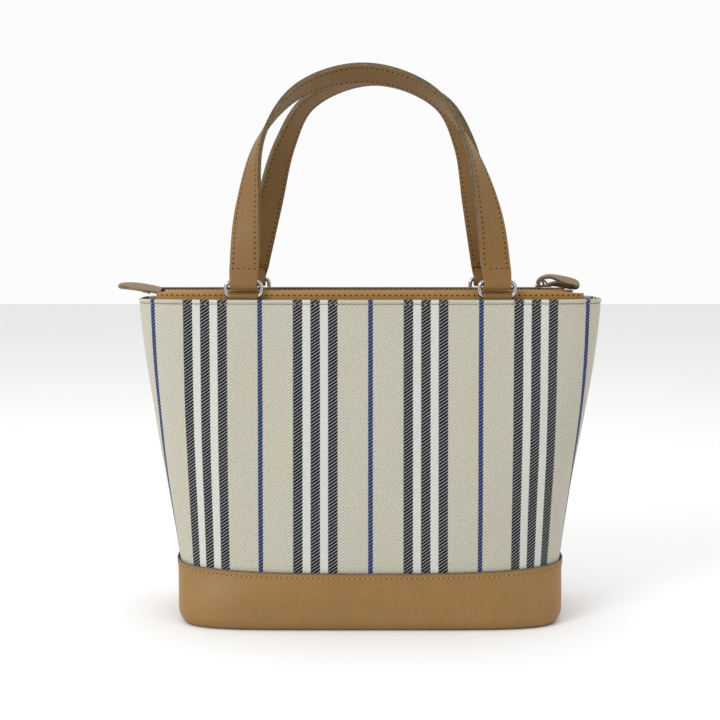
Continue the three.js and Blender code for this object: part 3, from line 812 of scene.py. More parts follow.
class TOTE_OT_leather_base(bpy.types.Operator):
    """Make the leather band round the base, its stitches, and finish the bottom"""
    bl_idname = "tote.leather_base"
    bl_label = "Leather base"

    def execute(self, context):
        sizes = context.scene.tote_sizes
        proud = BAND_PROUD
        for half, _ in HALVES:
            stops = [(0.0, proud - 6 * MM), (0.0, proud - 2 * MM)]
            stops += [(z, proud) for z in np.linspace(0.25 * MM, BOTTOM_ROLL, 10)]
            stops += [(z, proud) for z in np.linspace(BOTTOM_ROLL + 2 * MM, BAND_Z - 4.5 * MM, 14)]
            stops += [(BAND_Z - BAND_STITCH_DROP, proud - 0.12 * MM), (BAND_Z - 2.2 * MM, proud + 0.05 * MM),
                      (BAND_Z - 1.0 * MM, proud + 0.15 * MM), (BAND_Z - 0.3 * MM, proud - 0.1 * MM),
                      (BAND_Z, proud - 0.55 * MM)]
            profile, rows = rows_on(stops)
            band = grid_sheet(f"leather_band_{half}", BAND_CELLS, rows, wall_points(half, profile))
            thicken(band, 1.2 * MM, -1, 0.25 * MM, "leather", "edge")
            attach(band, "bag", "leather_tan", f"base_band_{half}")
            line, normals = wall_line(half, BAND_Z - BAND_STITCH_DROP, proud)
            sew("bag", "leather_tan", f"band_stitches_{half}", line, normals, sizes, "thread")
            # Dark beads at the band's top and bottom: edge paint and painted shade along those edges.
            self.edge_paint_and_shade_bead(f"band_top_edge_{half}", half, BAND_Z - 0.35 * MM, proud - 0.45 * MM, 0.62 * MM)
            self.edge_paint_and_shade_bead(f"band_bottom_edge_{half}", half, 0.55 * MM, proud - 0.1 * MM, 0.5 * MM)
        for node, finish in (("base_bottom", "leather"), ("base_board", "board")):
            repaint(node, finish)
        return {"FINISHED"}

    def edge_paint_and_shade_bead(self, name, half, z, offset, radius):
        """A rounded dark bead along the band: its edge paint, and painted shade along the band's edge."""
        stops = [(z + radius * math.sin(turn), offset + radius * math.cos(turn))
                 for turn in np.linspace(-math.pi, math.pi, 11)]
        profile, rows = rows_on(stops)
        bead_edge = grid_sheet(name, BAND_CELLS, rows, wall_points(half, profile))
        bead_edge.data.materials.append(FINISHES["edge"])
        modify(bead_edge, "WELD", merge_threshold=0.02 * MM)
        outward_normals(bead_edge)
        smooth(bead_edge, 60)
        attach(bead_edge, "bag", "leather_tan")


def repaint(node, finish):
    """Give a carried-over CAD node its finish."""
    mesh = frame["nodes"][node].data
    mesh.materials.clear()
    mesh.materials.append(FINISHES[finish])


class TOTE_OT_lining(bpy.types.Operator):
    """Make the dark lining of the walls and the floor"""
    bl_idname = "tote.lining"
    bl_label = "Lining"

    def execute(self, context):
        for half, _ in HALVES:
            low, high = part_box(f"lining_{half}")
            stops = [(z, -LINING_INSET) for z in np.linspace(low.z, high.z, 40)]
            profile, rows = rows_on(stops)
            skin = grid_sheet(f"lining_wall_{half}", LINING_CELLS, rows,
                              wall_points(half, profile, lining_dents), wall_flat(profile))
            thicken(skin, 0.45 * MM, -1, 0, "lining")
            attach(skin, "bag", "lining_twill", f"lining_{half}")
        repaint("lining_base", "lining")
        return {"FINISHED"}


def lining_dents(shares, z):
    """The lining hangs a little slack inside."""
    middle = math.sin(math.pi * min(max(z / RIM_Z, 0), 1))
    values = [noise.noise(Vector((share * 34, z * 16, 5.7))) for share in shares]
    return -(np.abs(np.array(values)) * 1.6) * MM * middle


# ---- Facing ----
FACING_INSET = 8.5 * MM
FACING_THICK = 1.5 * MM
FACING_DIP = 1.8 * MM
DIP_LEFT, DIP_RIGHT = 10 * MM, 24 * MM


def facing_margin():
    """The share of the outline beyond the facing's end."""
    points, normals, run, _ = outline_at(RIM_Z)
    inside = points[:, 0] - FACING_INSET * normals[:, 0]
    quarter = OUTLINE_SAMPLES // 4
    return float(np.interp(-FACING_HIGH.x, -inside[:quarter], run[:quarter]))


class TOTE_OT_facings(bpy.types.Operator):
    """Make the leather strips that stand inside the mouth, with their stitches"""
    bl_idname = "tote.facings"
    bl_label = "Facings"

    def execute(self, context):
        sizes = context.scene.tote_sizes
        margin = facing_margin()
        for half, _ in HALVES:
            start = HALF_START[half]
            top = FACING_HIGH.z - (0.7 * MM if half == "back" else 0)

            def place(u, v):
                shares = start + lerp(margin, 0.5 - margin, u)
                points = around(shares, RIM_Z, -FACING_INSET)
                reach = np.where(points[:, 0] < 0, DIP_LEFT, DIP_RIGHT)
                dip = FACING_DIP * eased((np.abs(points[:, 0]) - FACING_HIGH.x + reach) / reach)
                points[:, 2] = lerp(FACING_LOW.z, top - dip, v)
                return points
            strip = grid_sheet(f"facing_strip_{half}", 160, 10, place)
            # Painted light: the facing's leather is brightened to offset the shade inside the mouth.
            thicken(strip, FACING_THICK, -1, 0.35 * MM, "leather_facing")
            attach(strip, "bag", "leather_tan", f"facing_{half}")
            shares = start + np.linspace(margin + 0.002, 0.5 - margin - 0.002, 500)
            line = around(shares, RIM_Z, -FACING_INSET)
            line[:, 2] = lerp(RIM_Z, FACING_HIGH.z, 0.46)
            normals = around(shares, RIM_Z, 0) - around(shares, RIM_Z, -1 * MM)
            sew("bag", "leather_tan", f"facing_stitches_{half}", line, normals, sizes, "leather_facing",
                sizes.facing_pitch, sunk=True)
        return {"FINISHED"}


# ---- Folded strips ----
LOOP_ANGLES = (-28, 208)


def turn_round(bar, leg, side, ply, bar_radius, leg_length, clearance=0.25 * MM, steps=20):
    """Points and normals of a ply that comes in along a leg, turns round a bar and goes back."""
    radius = bar_radius + clearance + ply / 2
    rest = ply / 2 + 0.02 * MM
    settle = radius * 2.1
    points, normals = [], []

    def add(along, sideways, normal):
        points.append(bar + leg * along + side * sideways)
        normals.append(normal)
    for along in np.linspace(leg_length, settle, 5):
        add(float(along), rest, side.copy())
    for step in range(steps + 1):
        angle = math.radians(lerp(*LOOP_ANGLES, step / steps))
        cos, sin = math.cos(angle), math.sin(angle)
        add(-sin * radius, cos * radius, side * cos - leg * sin)
    for along in np.linspace(settle, leg_length, 5):
        add(float(along), -rest, -side)
    return points, normals


def smoothed(values, passes=2):
    """Ease the corners of a row of vectors, with its ends held."""
    rows = np.array([list(value) for value in values], float)
    for _ in range(passes):
        rows[1:-1] = rows[:-2] * 0.25 + rows[1:-1] * 0.5 + rows[2:] * 0.25
    return rows


def strip_sheet(name, points, normals, across, width, cells_v=8, crown=0.0):
    """A strip along points; `across` is one direction or one for each point, and the crown domes its face."""
    points, normals = np.asarray(points, float), np.asarray(normals, float)
    across = np.broadcast_to(np.asarray(across, float), points.shape)
    width = np.broadcast_to(np.asarray(width, float), (len(points),))
    last = len(points) - 1

    def place(u, v):
        index = np.round(u * last).astype(int)
        side = (v - 0.5)[:, None] * width[index][:, None] * across[index]
        dome = crown * (1 - (2 * v - 1) ** 4)[:, None] * normals[index]
        return points[index] + side + dome
    return grid_sheet(name, last, cells_v, place)


RING_WIRE = RING_HIGH.y - RING_LOW.y
RING_CORNER = 3.4 * MM
RING_STEPS = 48
TAB_PLY, TAB_LEG = 1.0 * MM, 24 * MM


class TOTE_OT_rings(bpy.types.Operator):
    """Make the four rings and the leather tabs that hold them"""
    bl_idname = "tote.rings"
    bl_label = "Rings and tabs"

    def execute(self, context):
        sizes = context.scene.tote_sizes
        for half, outward in HALVES:
            for side, hand in SIDES:
                bar = Vector((abs(RING_PIVOT.x) * hand, abs(RING_PIVOT.y) * outward, RING_PIVOT.z))
                self.ring(f"{half}_{side}", bar)
                self.tab(f"{half}_{side}", bar, sizes)
        return {"FINISHED"}

    def ring(self, name, bar):
        """A round wire bent to a rounded rectangle standing on its lower bar."""
        half_wide = (RING_HIGH.x - RING_LOW.x - RING_WIRE) / 2
        half_tall = (RING_HIGH.z - RING_LOW.z - RING_WIRE) / 2
        start_clean()
        bpy.ops.mesh.primitive_torus_add(major_segments=RING_STEPS, minor_segments=16,
                                         major_radius=RING_CORNER, minor_radius=RING_WIRE / 2,
                                         rotation=(math.pi / 2, 0, 0))
        ring = name_piece(f"metal_ring_{name}")
        bpy.ops.object.transform_apply(rotation=True, location=True, scale=True)
        points = read_points(ring.data)
        turn = math.pi / RING_STEPS
        x = points[:, 0] * math.cos(turn) - points[:, 2] * math.sin(turn)
        z = points[:, 0] * math.sin(turn) + points[:, 2] * math.cos(turn)
        x = x + np.sign(x) * (half_wide - RING_CORNER)
        z = z + np.sign(z) * (half_tall - RING_CORNER)
        write_points(ring.data, np.stack([x + bar.x, points[:, 1] + bar.y, z + bar.z + half_tall], 1))
        ring.data.materials.append(FINISHES["metal"])
        ring.data.shade_smooth()
        attach(ring, f"ring_{name}", "polished_nickel", f"ring_{name}")

    def tab(self, name, bar, sizes):
        """A leather tab folded round the ring's lower bar and sewn down inside the mouth."""
        down, inside = Vector((0, 0, -1)), Vector((0, 1, 0))
        points, normals = turn_round(bar, down, inside, TAB_PLY, RING_WIRE / 2, TAB_LEG)
        points, normals = smoothed(points), smoothed(normals)
        strip = strip_sheet(f"leather_tab_{name}", points, normals, (1, 0, 0), sizes.strap_width - 0.4 * MM)
        thicken(strip, TAB_PLY, 0, 0.2 * MM, "leather_strap", "edge")
        attach(strip, "bag", "leather_tan", f"tab_{name}")


# ---- Handles ----
FRONT_ARCH = [
    (-1, 0), (-0.97, 0.36), (-0.87, 0.69), (-0.58, 0.915), (-0.04, 1.005),
    (0.51, 0.895), (0.775, 0.67), (0.935, 0.34), (1, 0),
]
BACK_ARCH = [
    (-1, 0), (-0.945, 0.15), (-0.845, 0.39), (-0.705, 0.68), (-0.5, 0.885), (0.04, 0.995),
    (0.58, 0.885), (0.785, 0.68), (0.89, 0.39), (0.96, 0.15), (1, 0),
]
HANDLE_RISE = 136 * MM
HANDLE_TOP_GAP = 21 * MM
HANDLE_LEAN = (abs(STRAP_PIVOT.y) - HANDLE_TOP_GAP / 2) / HANDLE_RISE
FRONT_TWIST, BACK_TWIST = 120, 78
ARCH_STEPS = 150
# The loop round a ring: how far its end comes back up, how low it hangs, its room round
# the wire, and how far up the outer ply's arch takes over from it.
RETURN_LENGTH = 9.5 * MM
LOOP_DROP = 1.7 * MM
LOOP_ROOM = 0.85 * MM
LOOP_TOP = 8.5 * MM
# The strap is narrower by the squeeze in the loop, and reaches its full width past it.
SQUEEZE, SQUEEZE_END, SQUEEZE_RUN = 1.2 * MM, 20 * MM, 8 * MM
CROSS_ROW = 2.6 * MM
CROWN = 0.12 * MM


def curve_through(stops, count):
    """Evenly spaced points on the centripetal curve through the stops."""
    stops = [np.array(stop, float) for stop in stops]
    stops = [2 * stops[0] - stops[1], *stops, 2 * stops[-1] - stops[-2]]
    dense = []
    for first, second, third, fourth in zip(stops, stops[1:], stops[2:], stops[3:]):
        knots = [0.0]
        for start, end in ((first, second), (second, third), (third, fourth)):
            knots.append(knots[-1] + np.linalg.norm(end - start) ** 0.5)
        four = [first, second, third, fourth]
        for t in np.linspace(knots[1], knots[2], 40, endpoint=False):
            level = four
            for reach in (1, 2):
                level = [lerp(level[i], level[i + 1], (t - knots[i]) / (knots[i + reach] - knots[i]))
                         for i in range(len(level) - 1)]
            dense.append(lerp(*level, (t - knots[1]) / (knots[2] - knots[1])))
    dense = np.array(dense + [stops[-2]])
    run = run_along(dense)
    even = np.linspace(0, run[-1], count)
    return np.stack([np.interp(even, run, dense[:, axis]) for axis in range(3)], 1), run[-1]


def arch_stations(arch, outward, twist):
    """Points, width directions, face normals and runs of a handle's middle line."""
    stops = [(across * abs(STRAP_PIVOT.x), outward * (abs(STRAP_PIVOT.y) - up * HANDLE_RISE * HANDLE_LEAN),
              STRAP_PIVOT.z + up * HANDLE_RISE) for across, up in arch]
    points, whole = curve_through(stops, ARCH_STEPS + 1)
    tangents = unit_rows(np.gradient(points, axis=0))
    front = np.zeros_like(points)
    front[:, 1] = outward
    front = unit_rows(front - (front * tangents).sum(1)[:, None] * tangents)
    inward = -outward * np.cross(tangents, front)
    share = np.linspace(0, 1, ARCH_STEPS + 1)
    turn = math.radians(twist) * eased((1 - np.abs(2 * share - 1)) ** 0.8)
    cos, sin = np.cos(turn)[:, None], np.sin(turn)[:, None]
    return points, inward * cos + front * sin, front * cos - inward * sin, share * whole


class TOTE_OT_handles(bpy.types.Operator):
    """Make the two handles of doubled leather, looped round their rings and sewn"""
    bl_idname = "tote.handles"
    bl_label = "Handles"

    def execute(self, context):
        sizes = context.scene.tote_sizes
        self.handle("front", -1, FRONT_ARCH, FRONT_TWIST, sizes)
        self.handle("back", 1, BACK_ARCH, BACK_TWIST, sizes)
        return {"FINISHED"}

    def foot(self, bar, outward, hand, sizes):
        """The loop of the outer ply round a ring's bar, from its return to the outside."""
        up = Vector((0, -outward * HANDLE_LEAN, 1)).normalized()
        inside = Vector((0, -outward, -HANDLE_LEAN)).normalized()
        hung = bar - up * LOOP_DROP
        points, normals = turn_round(hung, up, inside, sizes.strap_ply, RING_WIRE / 2, RETURN_LENGTH, LOOP_ROOM)
        keep = len(points) - 4
        points, normals = smoothed(points)[:keep], smoothed(normals)[:keep]
        across = np.tile((float(-hand), 0.0, 0.0), (keep, 1))
        return points, across, normals

    def handle(self, half, outward, arch, twist, sizes):
        """Both plies of one handle, and its stitches."""
        middle, across, normals, run = arch_stations(arch, outward, twist)
        body = f"{half}_handle"
        offset = sizes.strap_ply / 2 + 0.02 * MM
        left = self.foot(Vector(middle[0]), outward, -1, sizes)
        right = self.foot(Vector(middle[-1]), outward, 1, sizes)
        clear = (run > LOOP_TOP) & (run < run[-1] - LOOP_TOP)
        outer = [np.concatenate([left[0], middle[clear] + normals[clear] * offset, right[0][::-1]]),
                 np.concatenate([left[1], across[clear], right[1][::-1]]),
                 np.concatenate([left[2], normals[clear], right[2][::-1]])]
        path, side, face = [smoothed(rows, 3) for rows in outer]
        length = run_along(path)
        to_end = np.minimum(length, length[-1] - length)
        width = sizes.strap_width - SQUEEZE * (1 - eased((to_end - SQUEEZE_END) / SQUEEZE_RUN))
        ply = strip_sheet(f"strap_outer_{half}", path, face, side, width, 10, CROWN)
        thicken(ply, sizes.strap_ply, 0, 0.3 * MM, "leather_strap", "edge")
        attach(ply, body, "leather_tan", f"{half}_handle_outer")
        first = len(left[0]) - 1
        self.stitches(f"{half}_out", body, path[first:-first], side[first:-first], face[first:-first], sizes)
        joined = RETURN_LENGTH - LOOP_DROP + 0.4 * MM
        clear = (run > joined) & (run < run[-1] - joined)
        path, side, face = (middle - normals * offset)[clear], across[clear], -normals[clear]
        inner = strip_sheet(f"strap_inner_{half}", path, face, side, sizes.strap_width, 10, CROWN)
        # The inner ply takes the darker strap finish: painted shade on the handle's underside.
        thicken(inner, sizes.strap_ply, 0, 0.3 * MM, "leather_shaded_inner", "edge")
        attach(inner, body, "leather_tan", f"{half}_handle_inner")
        self.stitches(f"{half}_in", body, path, side, face, sizes)

    def stitches(self, name, body, path, side, face, sizes):
        """Two rows along one face of the handle, joined by a row across at each end."""
        inset = sizes.strap_width / 2 - sizes.stitch_inset
        top = path + face * (sizes.strap_ply / 2 + CROWN * 0.6)
        run = run_along(path)
        start = np.argmin(np.abs(run - CROSS_ROW))
        end = np.argmin(np.abs(run - (run[-1] - CROSS_ROW)))
        rows = [(f"{edge}_row", (top + side * inset * sign)[start:end + 1], face[start:end + 1])
                for sign, edge in ((1, "inner"), (-1, "outer"))]
        for at, edge in ((start, "left"), (end, "right")):
            line = [top[at] + side[at] * inset * share for share in np.linspace(-1, 1, 9)]
            rows.append((f"{edge}_cross_row", line, np.tile(face[at], (9, 1))))
        for row, line, out in rows:
            sew(body, "leather_tan", f"strap_{name}_{row}", line, out, sizes, "leather_strap", sunk=True)


# ---- Zip ----
def facing_inside(x):
    """The facing's inside face, as a distance from the middle line at each x."""
    inset = FACING_INSET + FACING_THICK
    points, normals, _, _ = outline_at(RIM_Z)
    quarter = OUTLINE_SAMPLES // 4 + 1
    inner = points[:quarter] - inset * normals[:quarter]
    order = np.argsort(inner[:, 0])
    return np.interp(np.abs(x), inner[order, 0], inner[order, 1])


ZIP_ROOT = (-124 * MM, -50 * MM)
TAB_BEND = (-149 * MM, -156 * MM)
THONG_BEND = (115 * MM, 124 * MM)


def attach_bending(piece, bodies, reach, slot, *replaced):
    """Bake the piece's place into its mesh and stand for CAD nodes; the bodies, the reach and the slot are not
    used.
    """
    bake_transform(piece)
    if replaced:
        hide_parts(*replaced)


def attach_zip(piece, half, slot, *replaced):
    """Bake a zip piece in place and stand for CAD nodes, through attach_bending."""
    attach_bending(piece, ("bag", f"zip_{half}"), ZIP_ROOT, slot, *replaced)


FLAP_EDGE = 10.5 * MM
TAPE_WIDTH = 15 * MM
TAIL_HALF_WIDTH = 12 * MM
COIL_Z = TAPE_HIGH.z + 1.8 * MM
COIL_Y = 1.75 * MM
COIL_LOOP = (3.8 * MM, 0.66 * MM, 2.3 * MM)
CORE_HALF_HEIGHT, CORE_THICKNESS = 0.75 * MM, 1.4 * MM


def coil_frames(first, last, pitch, outward):
    """Places of the coil's loops on one side of the zip."""
    frames = []
    count = int((last - first) / pitch)
    shift = 0.0 if outward < 0 else pitch / 2
    for index in range(count):
        point = (first + shift + index * pitch, outward * COIL_Y, COIL_Z)
        frames.append(frame_matrix(point, (0.12 * outward, 1, 0), (0, 0, 1), COIL_LOOP))
    return frames


def coil_core(name, first, last, outward, steps):
    """The cord that the coil's loops are wound over, coloured near black as painted shade in the gaps between
    the loops.
    """
    def place(u, v):
        z = COIL_Z + lerp(-1, 1, v) * CORE_HALF_HEIGHT
        return np.stack([lerp(first, last, u), np.full(len(u), outward * COIL_Y), z], 1)
    shaded_core = grid_sheet(name, steps, 2, place)
    thicken(shaded_core, CORE_THICKNESS, 0, 0, "shaded_core")
    return shaded_core


class TOTE_OT_zip(bpy.types.Operator):
    """Make both sides of the zip: leather flaps, woven tapes and nylon coils"""
    bl_idname = "tote.zip"
    bl_label = "Zip"

    def execute(self, context):
        sizes = context.scene.tote_sizes
        for half, outward in HALVES:
            self.flap(half, outward, sizes)
            self.tape(half, outward)
            self.coil(half, outward, sizes)
        self.tail(sizes)
        return {"FINISHED"}

    def flap(self, half, outward, sizes):
        """The leather strip between the facing and the tape."""
        def place(u, v):
            x = lerp(FLAP_LOW.x, FLAP_HIGH.x, u)
            y = lerp(FLAP_EDGE, facing_inside(x) - 0.9 * MM, v)
            sag = -0.5 * MM * np.sin(math.pi * v) * np.sin(math.pi * u)
            return np.stack([x, outward * y, np.full(len(u), FLAP_HIGH.z - 0.35 * MM) + sag], 1)
        flap = grid_sheet(f"zip_leather_{half}", 160, 10, place)
        thicken(flap, 1.0 * MM, 0, 0.25 * MM, "leather_strap")
        attach_zip(flap, half, "leather_tan", f"zip_flap_{half}")
        x = np.linspace(FLAP_LOW.x + 2 * MM, FLAP_HIGH.x - 2 * MM, 300)
        y = outward * (FLAP_EDGE + 2 * MM)
        line = np.stack([x, np.full(300, y), np.full(300, FLAP_HIGH.z + 0.1 * MM)], 1)
        up = np.tile((0, 0, 1), (300, 1))
        for piece in stitch_line(f"zip_stitches_{half}", line, up, sizes, "leather_strap", sunk=True):
            attach_zip(piece, half, "leather_tan")

    def tape(self, half, outward):
        """The woven tape under the leather."""
        def place(u, v):
            y = lerp(0.4 * MM, TAPE_WIDTH, v)
            z = TAPE_HIGH.z + 0.55 * MM * (1 - v) ** 2
            return np.stack([lerp(TAPE_LOW.x, TAPE_HIGH.x, u), outward * y, z], 1)
        tape = grid_sheet(f"zip_woven_tape_{half}", 120, 6, place)
        thicken(tape, 0.5 * MM, -1 if outward < 0 else 1, 0, "tape")
        attach_zip(tape, half, "zip_tape", f"zip_tape_{half}")

    def coil(self, half, outward, sizes):
        """The coil's loops, each meshing between two of the other side's."""
        first, last = TAPE_LOW.x, SLIDER_LOW.x + 6 * MM
        frames = coil_frames(first, last, sizes.coil_pitch, outward)
        coil = repeated(f"zip_coil_{half}", bead(6, 6), frames, "coil")
        attach_zip(coil, half, "zip_coil", f"zip_teeth_{half}")
        # The near-black cord shows between the loops as painted shade.
        shaded_core = coil_core(f"zip_core_{half}", first, last - 2 * MM, outward, 160)
        attach_zip(shaded_core, half, "zip_coil")

    def tail(self, sizes):
        """The closed end of the zip, running out over the side."""
        def place(u, v):
            x = lerp(TAIL_LOW.x, TAIL_HIGH.x + 0.3 * MM, u)
            return np.stack([x, lerp(-1, 1, v) * TAIL_HALF_WIDTH, np.full(len(u), TAIL_HIGH.z)], 1)
        tape = grid_sheet("zip_tail_woven", 24, 8, place)
        thicken(tape, 0.5 * MM, -1, 0, "tape")
        attach(tape, "bag", "zip_tape", "zip_tail_tape")
        first, last, frames = TAIL_LOW.x + 2 * MM, TAPE_LOW.x, []
        for half, outward in HALVES:
            frames += coil_frames(first, last, sizes.coil_pitch, outward)
            attach(coil_core(f"zip_tail_core_{half}", first, last, outward, 12), "bag", "zip_coil")
        coil = repeated("zip_tail_loops", bead(6, 6), frames, "coil")
        attach(coil, "bag", "zip_coil", "zip_tail_coil")


# The end tab's side view: (x, top, underside), from its tip to where it covers the tape.
END_TAB_SIDE = (
    (-169.6, 223.9, 221.7), (-169.2, 224.3, 221.4), (-168.0, 224.7, 221.0), (-165.5, 225.0, 220.6),
    (-161.5, 225.1, 220.3), (-157.0, 224.7, 219.8), (-152.0, 224.0, 218.9), (-149.0, 223.4, 218.0),
    (-147.0, 223.0, 217.5), (-143.5, 222.1, 217.5), (-140.5, 221.4, 217.5),
)
END_TAB_HALF_WIDTHS = (
    (-169.6, 5.0), (-169.2, 6.6), (-167.6, 8.2), (-164.0, 9.4), (-150.0, 12.0), (-140.5, 12.2),
)
END_TAB_PLY = 1.25 * MM
END_TAB_LAP = -147.2 * MM


class TOTE_OT_end_tab(bpy.types.Operator):
    """Make the leather end of the zip, two plies sewn over the tape"""
    bl_idname = "tote.end_tab"
    bl_label = "Zip end tab"

    def execute(self, context):
        x, top, under = (np.array(END_TAB_SIDE) * MM).T
        widths = np.array(END_TAB_HALF_WIDTHS) * MM
        upper = self.ply("zip_end_upper", x, top - 0.6 * MM, x[-1], 3.2 * MM, widths, 0)
        thicken(upper, END_TAB_PLY, 0, 0.35 * MM, "leather_tail", even=False)
        attach_bending(upper, ("bag", "end_tab"), TAB_BEND, "leather_tan", "zip_end_tab")
        lower = self.ply("zip_end_lower", x, under + 0.6 * MM, END_TAB_LAP, 1.2 * MM, widths, 1)
        thicken(lower, END_TAB_PLY, 0, 0.35 * MM, "leather_tail", even=False)
        attach_bending(lower, ("bag", "end_tab"), TAB_BEND, "leather_tan")
        narrower = widths - np.array([0, 2.5 * MM])
        tape = self.ply("zip_end_woven", x[2:], under[2:] + 1.5 * MM, END_TAB_LAP, 1.2 * MM, narrower, 1)
        thicken(tape, 0.5 * MM, 0, 0, "tape", even=False)
        attach_bending(tape, ("bag", "end_tab"), TAB_BEND, "zip_tape", "zip_end_tape")
        return {"FINISHED"}

    def ply(self, name, x_stops, z_stops, end, droop, widths, from_edge):
        """One ply of the tab, its edges curled down, its height given at its middle or at its edges."""
        def place(u, v):
            x = lerp(x_stops[0], end, u ** 1.4)
            across = 2 * v - 1
            half = np.interp(x, widths[:, 0], widths[:, 1])
            curl = droop * eased((x - x_stops[0]) / (12 * MM)) * 0.7 + droop * 0.3
            z = np.interp(x, x_stops, z_stops) + curl * (from_edge - np.abs(across) ** 2.4)
            return np.stack([x, across * half, z], 1)
        return grid_sheet(name, 60, 24, place)


# The thong's side view along its middle, as (x, z, turn towards the front in degrees).
THONG_UPPER = (
    (115.0, 223.6, 0), (114.0, 224.4, 0), (114.3, 225.8, 4), (116.2, 227.6, 8), (119.0, 228.6, 12),
    (122.0, 228.9, 18), (125.5, 228.2, 28), (129.0, 227.1, 36), (133.0, 226.0, 40), (137.0, 225.0, 40),
    (139.6, 224.0, 36), (140.6, 222.6, 30),
)
THONG_LOWER = (
    (140.9, 223.6, 30), (140.2, 222.2, 32), (137.0, 222.3, 36), (132.0, 223.2, 36), (127.0, 224.0, 30),
    (123.0, 223.9, 20), (119.5, 223.2, 8),
)
THONG_STEPS = 61
THONG_PLIES = (  # name, side view, width, thickness and the CAD nodes it stands for
    ("pull_thong_upper", THONG_UPPER, 6.4 * MM, 2.0 * MM, ["pull_thong"]),
    ("pull_thong_lower", THONG_LOWER, 5.6 * MM, 1.5 * MM, []),
)
TOP_PLATE_Z, TOP_PLATE = SLIDER_LOW.z + 5.2 * MM, 0.9 * MM
BOTTOM_PLATE_Z, BOTTOM_PLATE = SLIDER_LOW.z + 0.5 * MM, 0.8 * MM
BRIDGE_FOOT = (PULL_PIVOT.x - 0.5 * MM, 0, SLIDER_LOW.z + 5.7 * MM)
BRIDGE_TOP_Z = PULL_PIVOT.z + 2.2 * MM
BRIDGE_REACH, BRIDGE_WIDTH, BRIDGE_THICKNESS = 3.1 * MM, 2.4 * MM, 1.2 * MM
LINK_MIDDLE = (PULL_PIVOT.x - 0.3 * MM, 0, PULL_PIVOT.z + 1.3 * MM)
LINK_RADIUS, LINK_WIRE_RADIUS, LINK_TILT = 2.3 * MM, 0.55 * MM, 70


class TOTE_OT_slider(bpy.types.Operator):
    """Make the zip's slider, its pull link and the leather thong"""
    bl_idname = "tote.slider"
    bl_label = "Slider and pull"

    def execute(self, context):
        self.body()
        self.link()
        self.thong()
        return {"FINISHED"}

    def plate(self, name, z, height):
        """A slider plate, wide at the open end and narrow at the closed end, with rounded corners."""
        middle_x = (SLIDER_LOW.x + SLIDER_HIGH.x) / 2
        half_x, half_y = (SLIDER_HIGH.x - SLIDER_LOW.x) / 2, (SLIDER_HIGH.y - SLIDER_LOW.y) / 2

        def place(u, v):
            across, along = 2 * v - 1, 2 * u - 1
            half = half_y * (0.80 + 0.20 * eased((along + 0.4) / 1.2)) * (1 - np.abs(along) ** 5) ** 0.3
            crown = height * 0.5 * (1 - across ** 4) * (1 - along ** 6)
            x = middle_x + half_x * along * 0.995
            return np.stack([x, across * half, z + crown], 1)
        plate = grid_sheet(name, 24, 16, place)
        thicken(plate, height, 0, 0.15 * MM, "dull_metal")
        return plate

    def body(self):
        """Two plates and the bridge over the top."""
        top = self.plate("slider_top_plate", TOP_PLATE_Z, TOP_PLATE)
        attach(top, "slider", "polished_nickel", "zip_slider")
        bottom = self.plate("slider_bottom_plate", BOTTOM_PLATE_Z, BOTTOM_PLATE)
        attach(bottom, "slider", "polished_nickel")
        turn = np.linspace(0, math.pi, 25)
        outward = np.stack([-np.cos(turn), np.zeros(25), np.sin(turn)], 1)
        rise = BRIDGE_TOP_Z - BRIDGE_FOOT[2]
        arch = np.array(BRIDGE_FOOT) + outward * np.array([BRIDGE_REACH, 0, rise])
        bridge = strip_sheet("slider_bridge", arch, outward, (0, 1, 0), BRIDGE_WIDTH, 4, 0.1 * MM)
        thicken(bridge, BRIDGE_THICKNESS, 0, 0.3 * MM, "dull_metal")
        attach(bridge, "slider", "polished_nickel")

    def link(self):
        """A small wire ring through the bridge."""
        start_clean()
        bpy.ops.mesh.primitive_torus_add(major_segments=40, minor_segments=12,
                                         major_radius=LINK_RADIUS, minor_radius=LINK_WIRE_RADIUS,
                                         rotation=(0, math.radians(LINK_TILT), 0))
        link = name_piece("pull_ring")
        bpy.ops.object.transform_apply(rotation=True, location=True, scale=True)
        write_points(link.data, read_points(link.data) + np.array(LINK_MIDDLE))
        link.data.materials.append(FINISHES["dull_metal"])
        link.data.shade_smooth()
        attach(link, "pull", "polished_nickel", "pull_link")

    def thong(self):
        """A leather thong looped through the link, lying over towards the mouth's end."""
        for name, stops, width, ply, replaced in THONG_PLIES:
            path, _ = curve_through([(x * MM, 0, z * MM) for x, z, _ in stops], THONG_STEPS)
            share = np.linspace(0, 1, THONG_STEPS)
            turn = np.radians(np.interp(share, np.linspace(0, 1, len(stops)), [stop[2] for stop in stops]))
            tangents = unit_rows(np.gradient(path, axis=0))
            side = np.tile((0.0, 1.0, 0.0), (THONG_STEPS, 1))
            up = np.cross(tangents, side)
            across = side * np.cos(turn)[:, None] + up * np.sin(turn)[:, None]
            face = np.cross(tangents, across)
            thong = strip_sheet(name, path, face, across, width, 8, 0.15 * MM)
            thicken(thong, ply, 0, 0.45 * MM, "leather_tail", even=False)
            attach_bending(thong, ("slider", "pull"), THONG_BEND, "leather_tan", *replaced)


# ---- Stage ----
GLOW_BEHIND, GLOW_IN_FRONT = (0.97, 0.97, 0.97), (0.46, 0.46, 0.47)
LIT_POINT = Vector((0, 0, 0.17))
LAMPS = (("key", (-1.25, -1.15, 1.15), 0.8, 15.5), ("fill", (1.25, -1.3, 0.7), 1.0, 2.0),
         ("top", (0.1, 0.1, 1.6), 1.1, 5.0))
CAMERA_LENS, SENSOR_WIDTH, CAMERA_TILT = 62, 36, 5.6
CAMERA_PLACE = (-6.8 * MM, -842 * MM, 254.6 * MM)


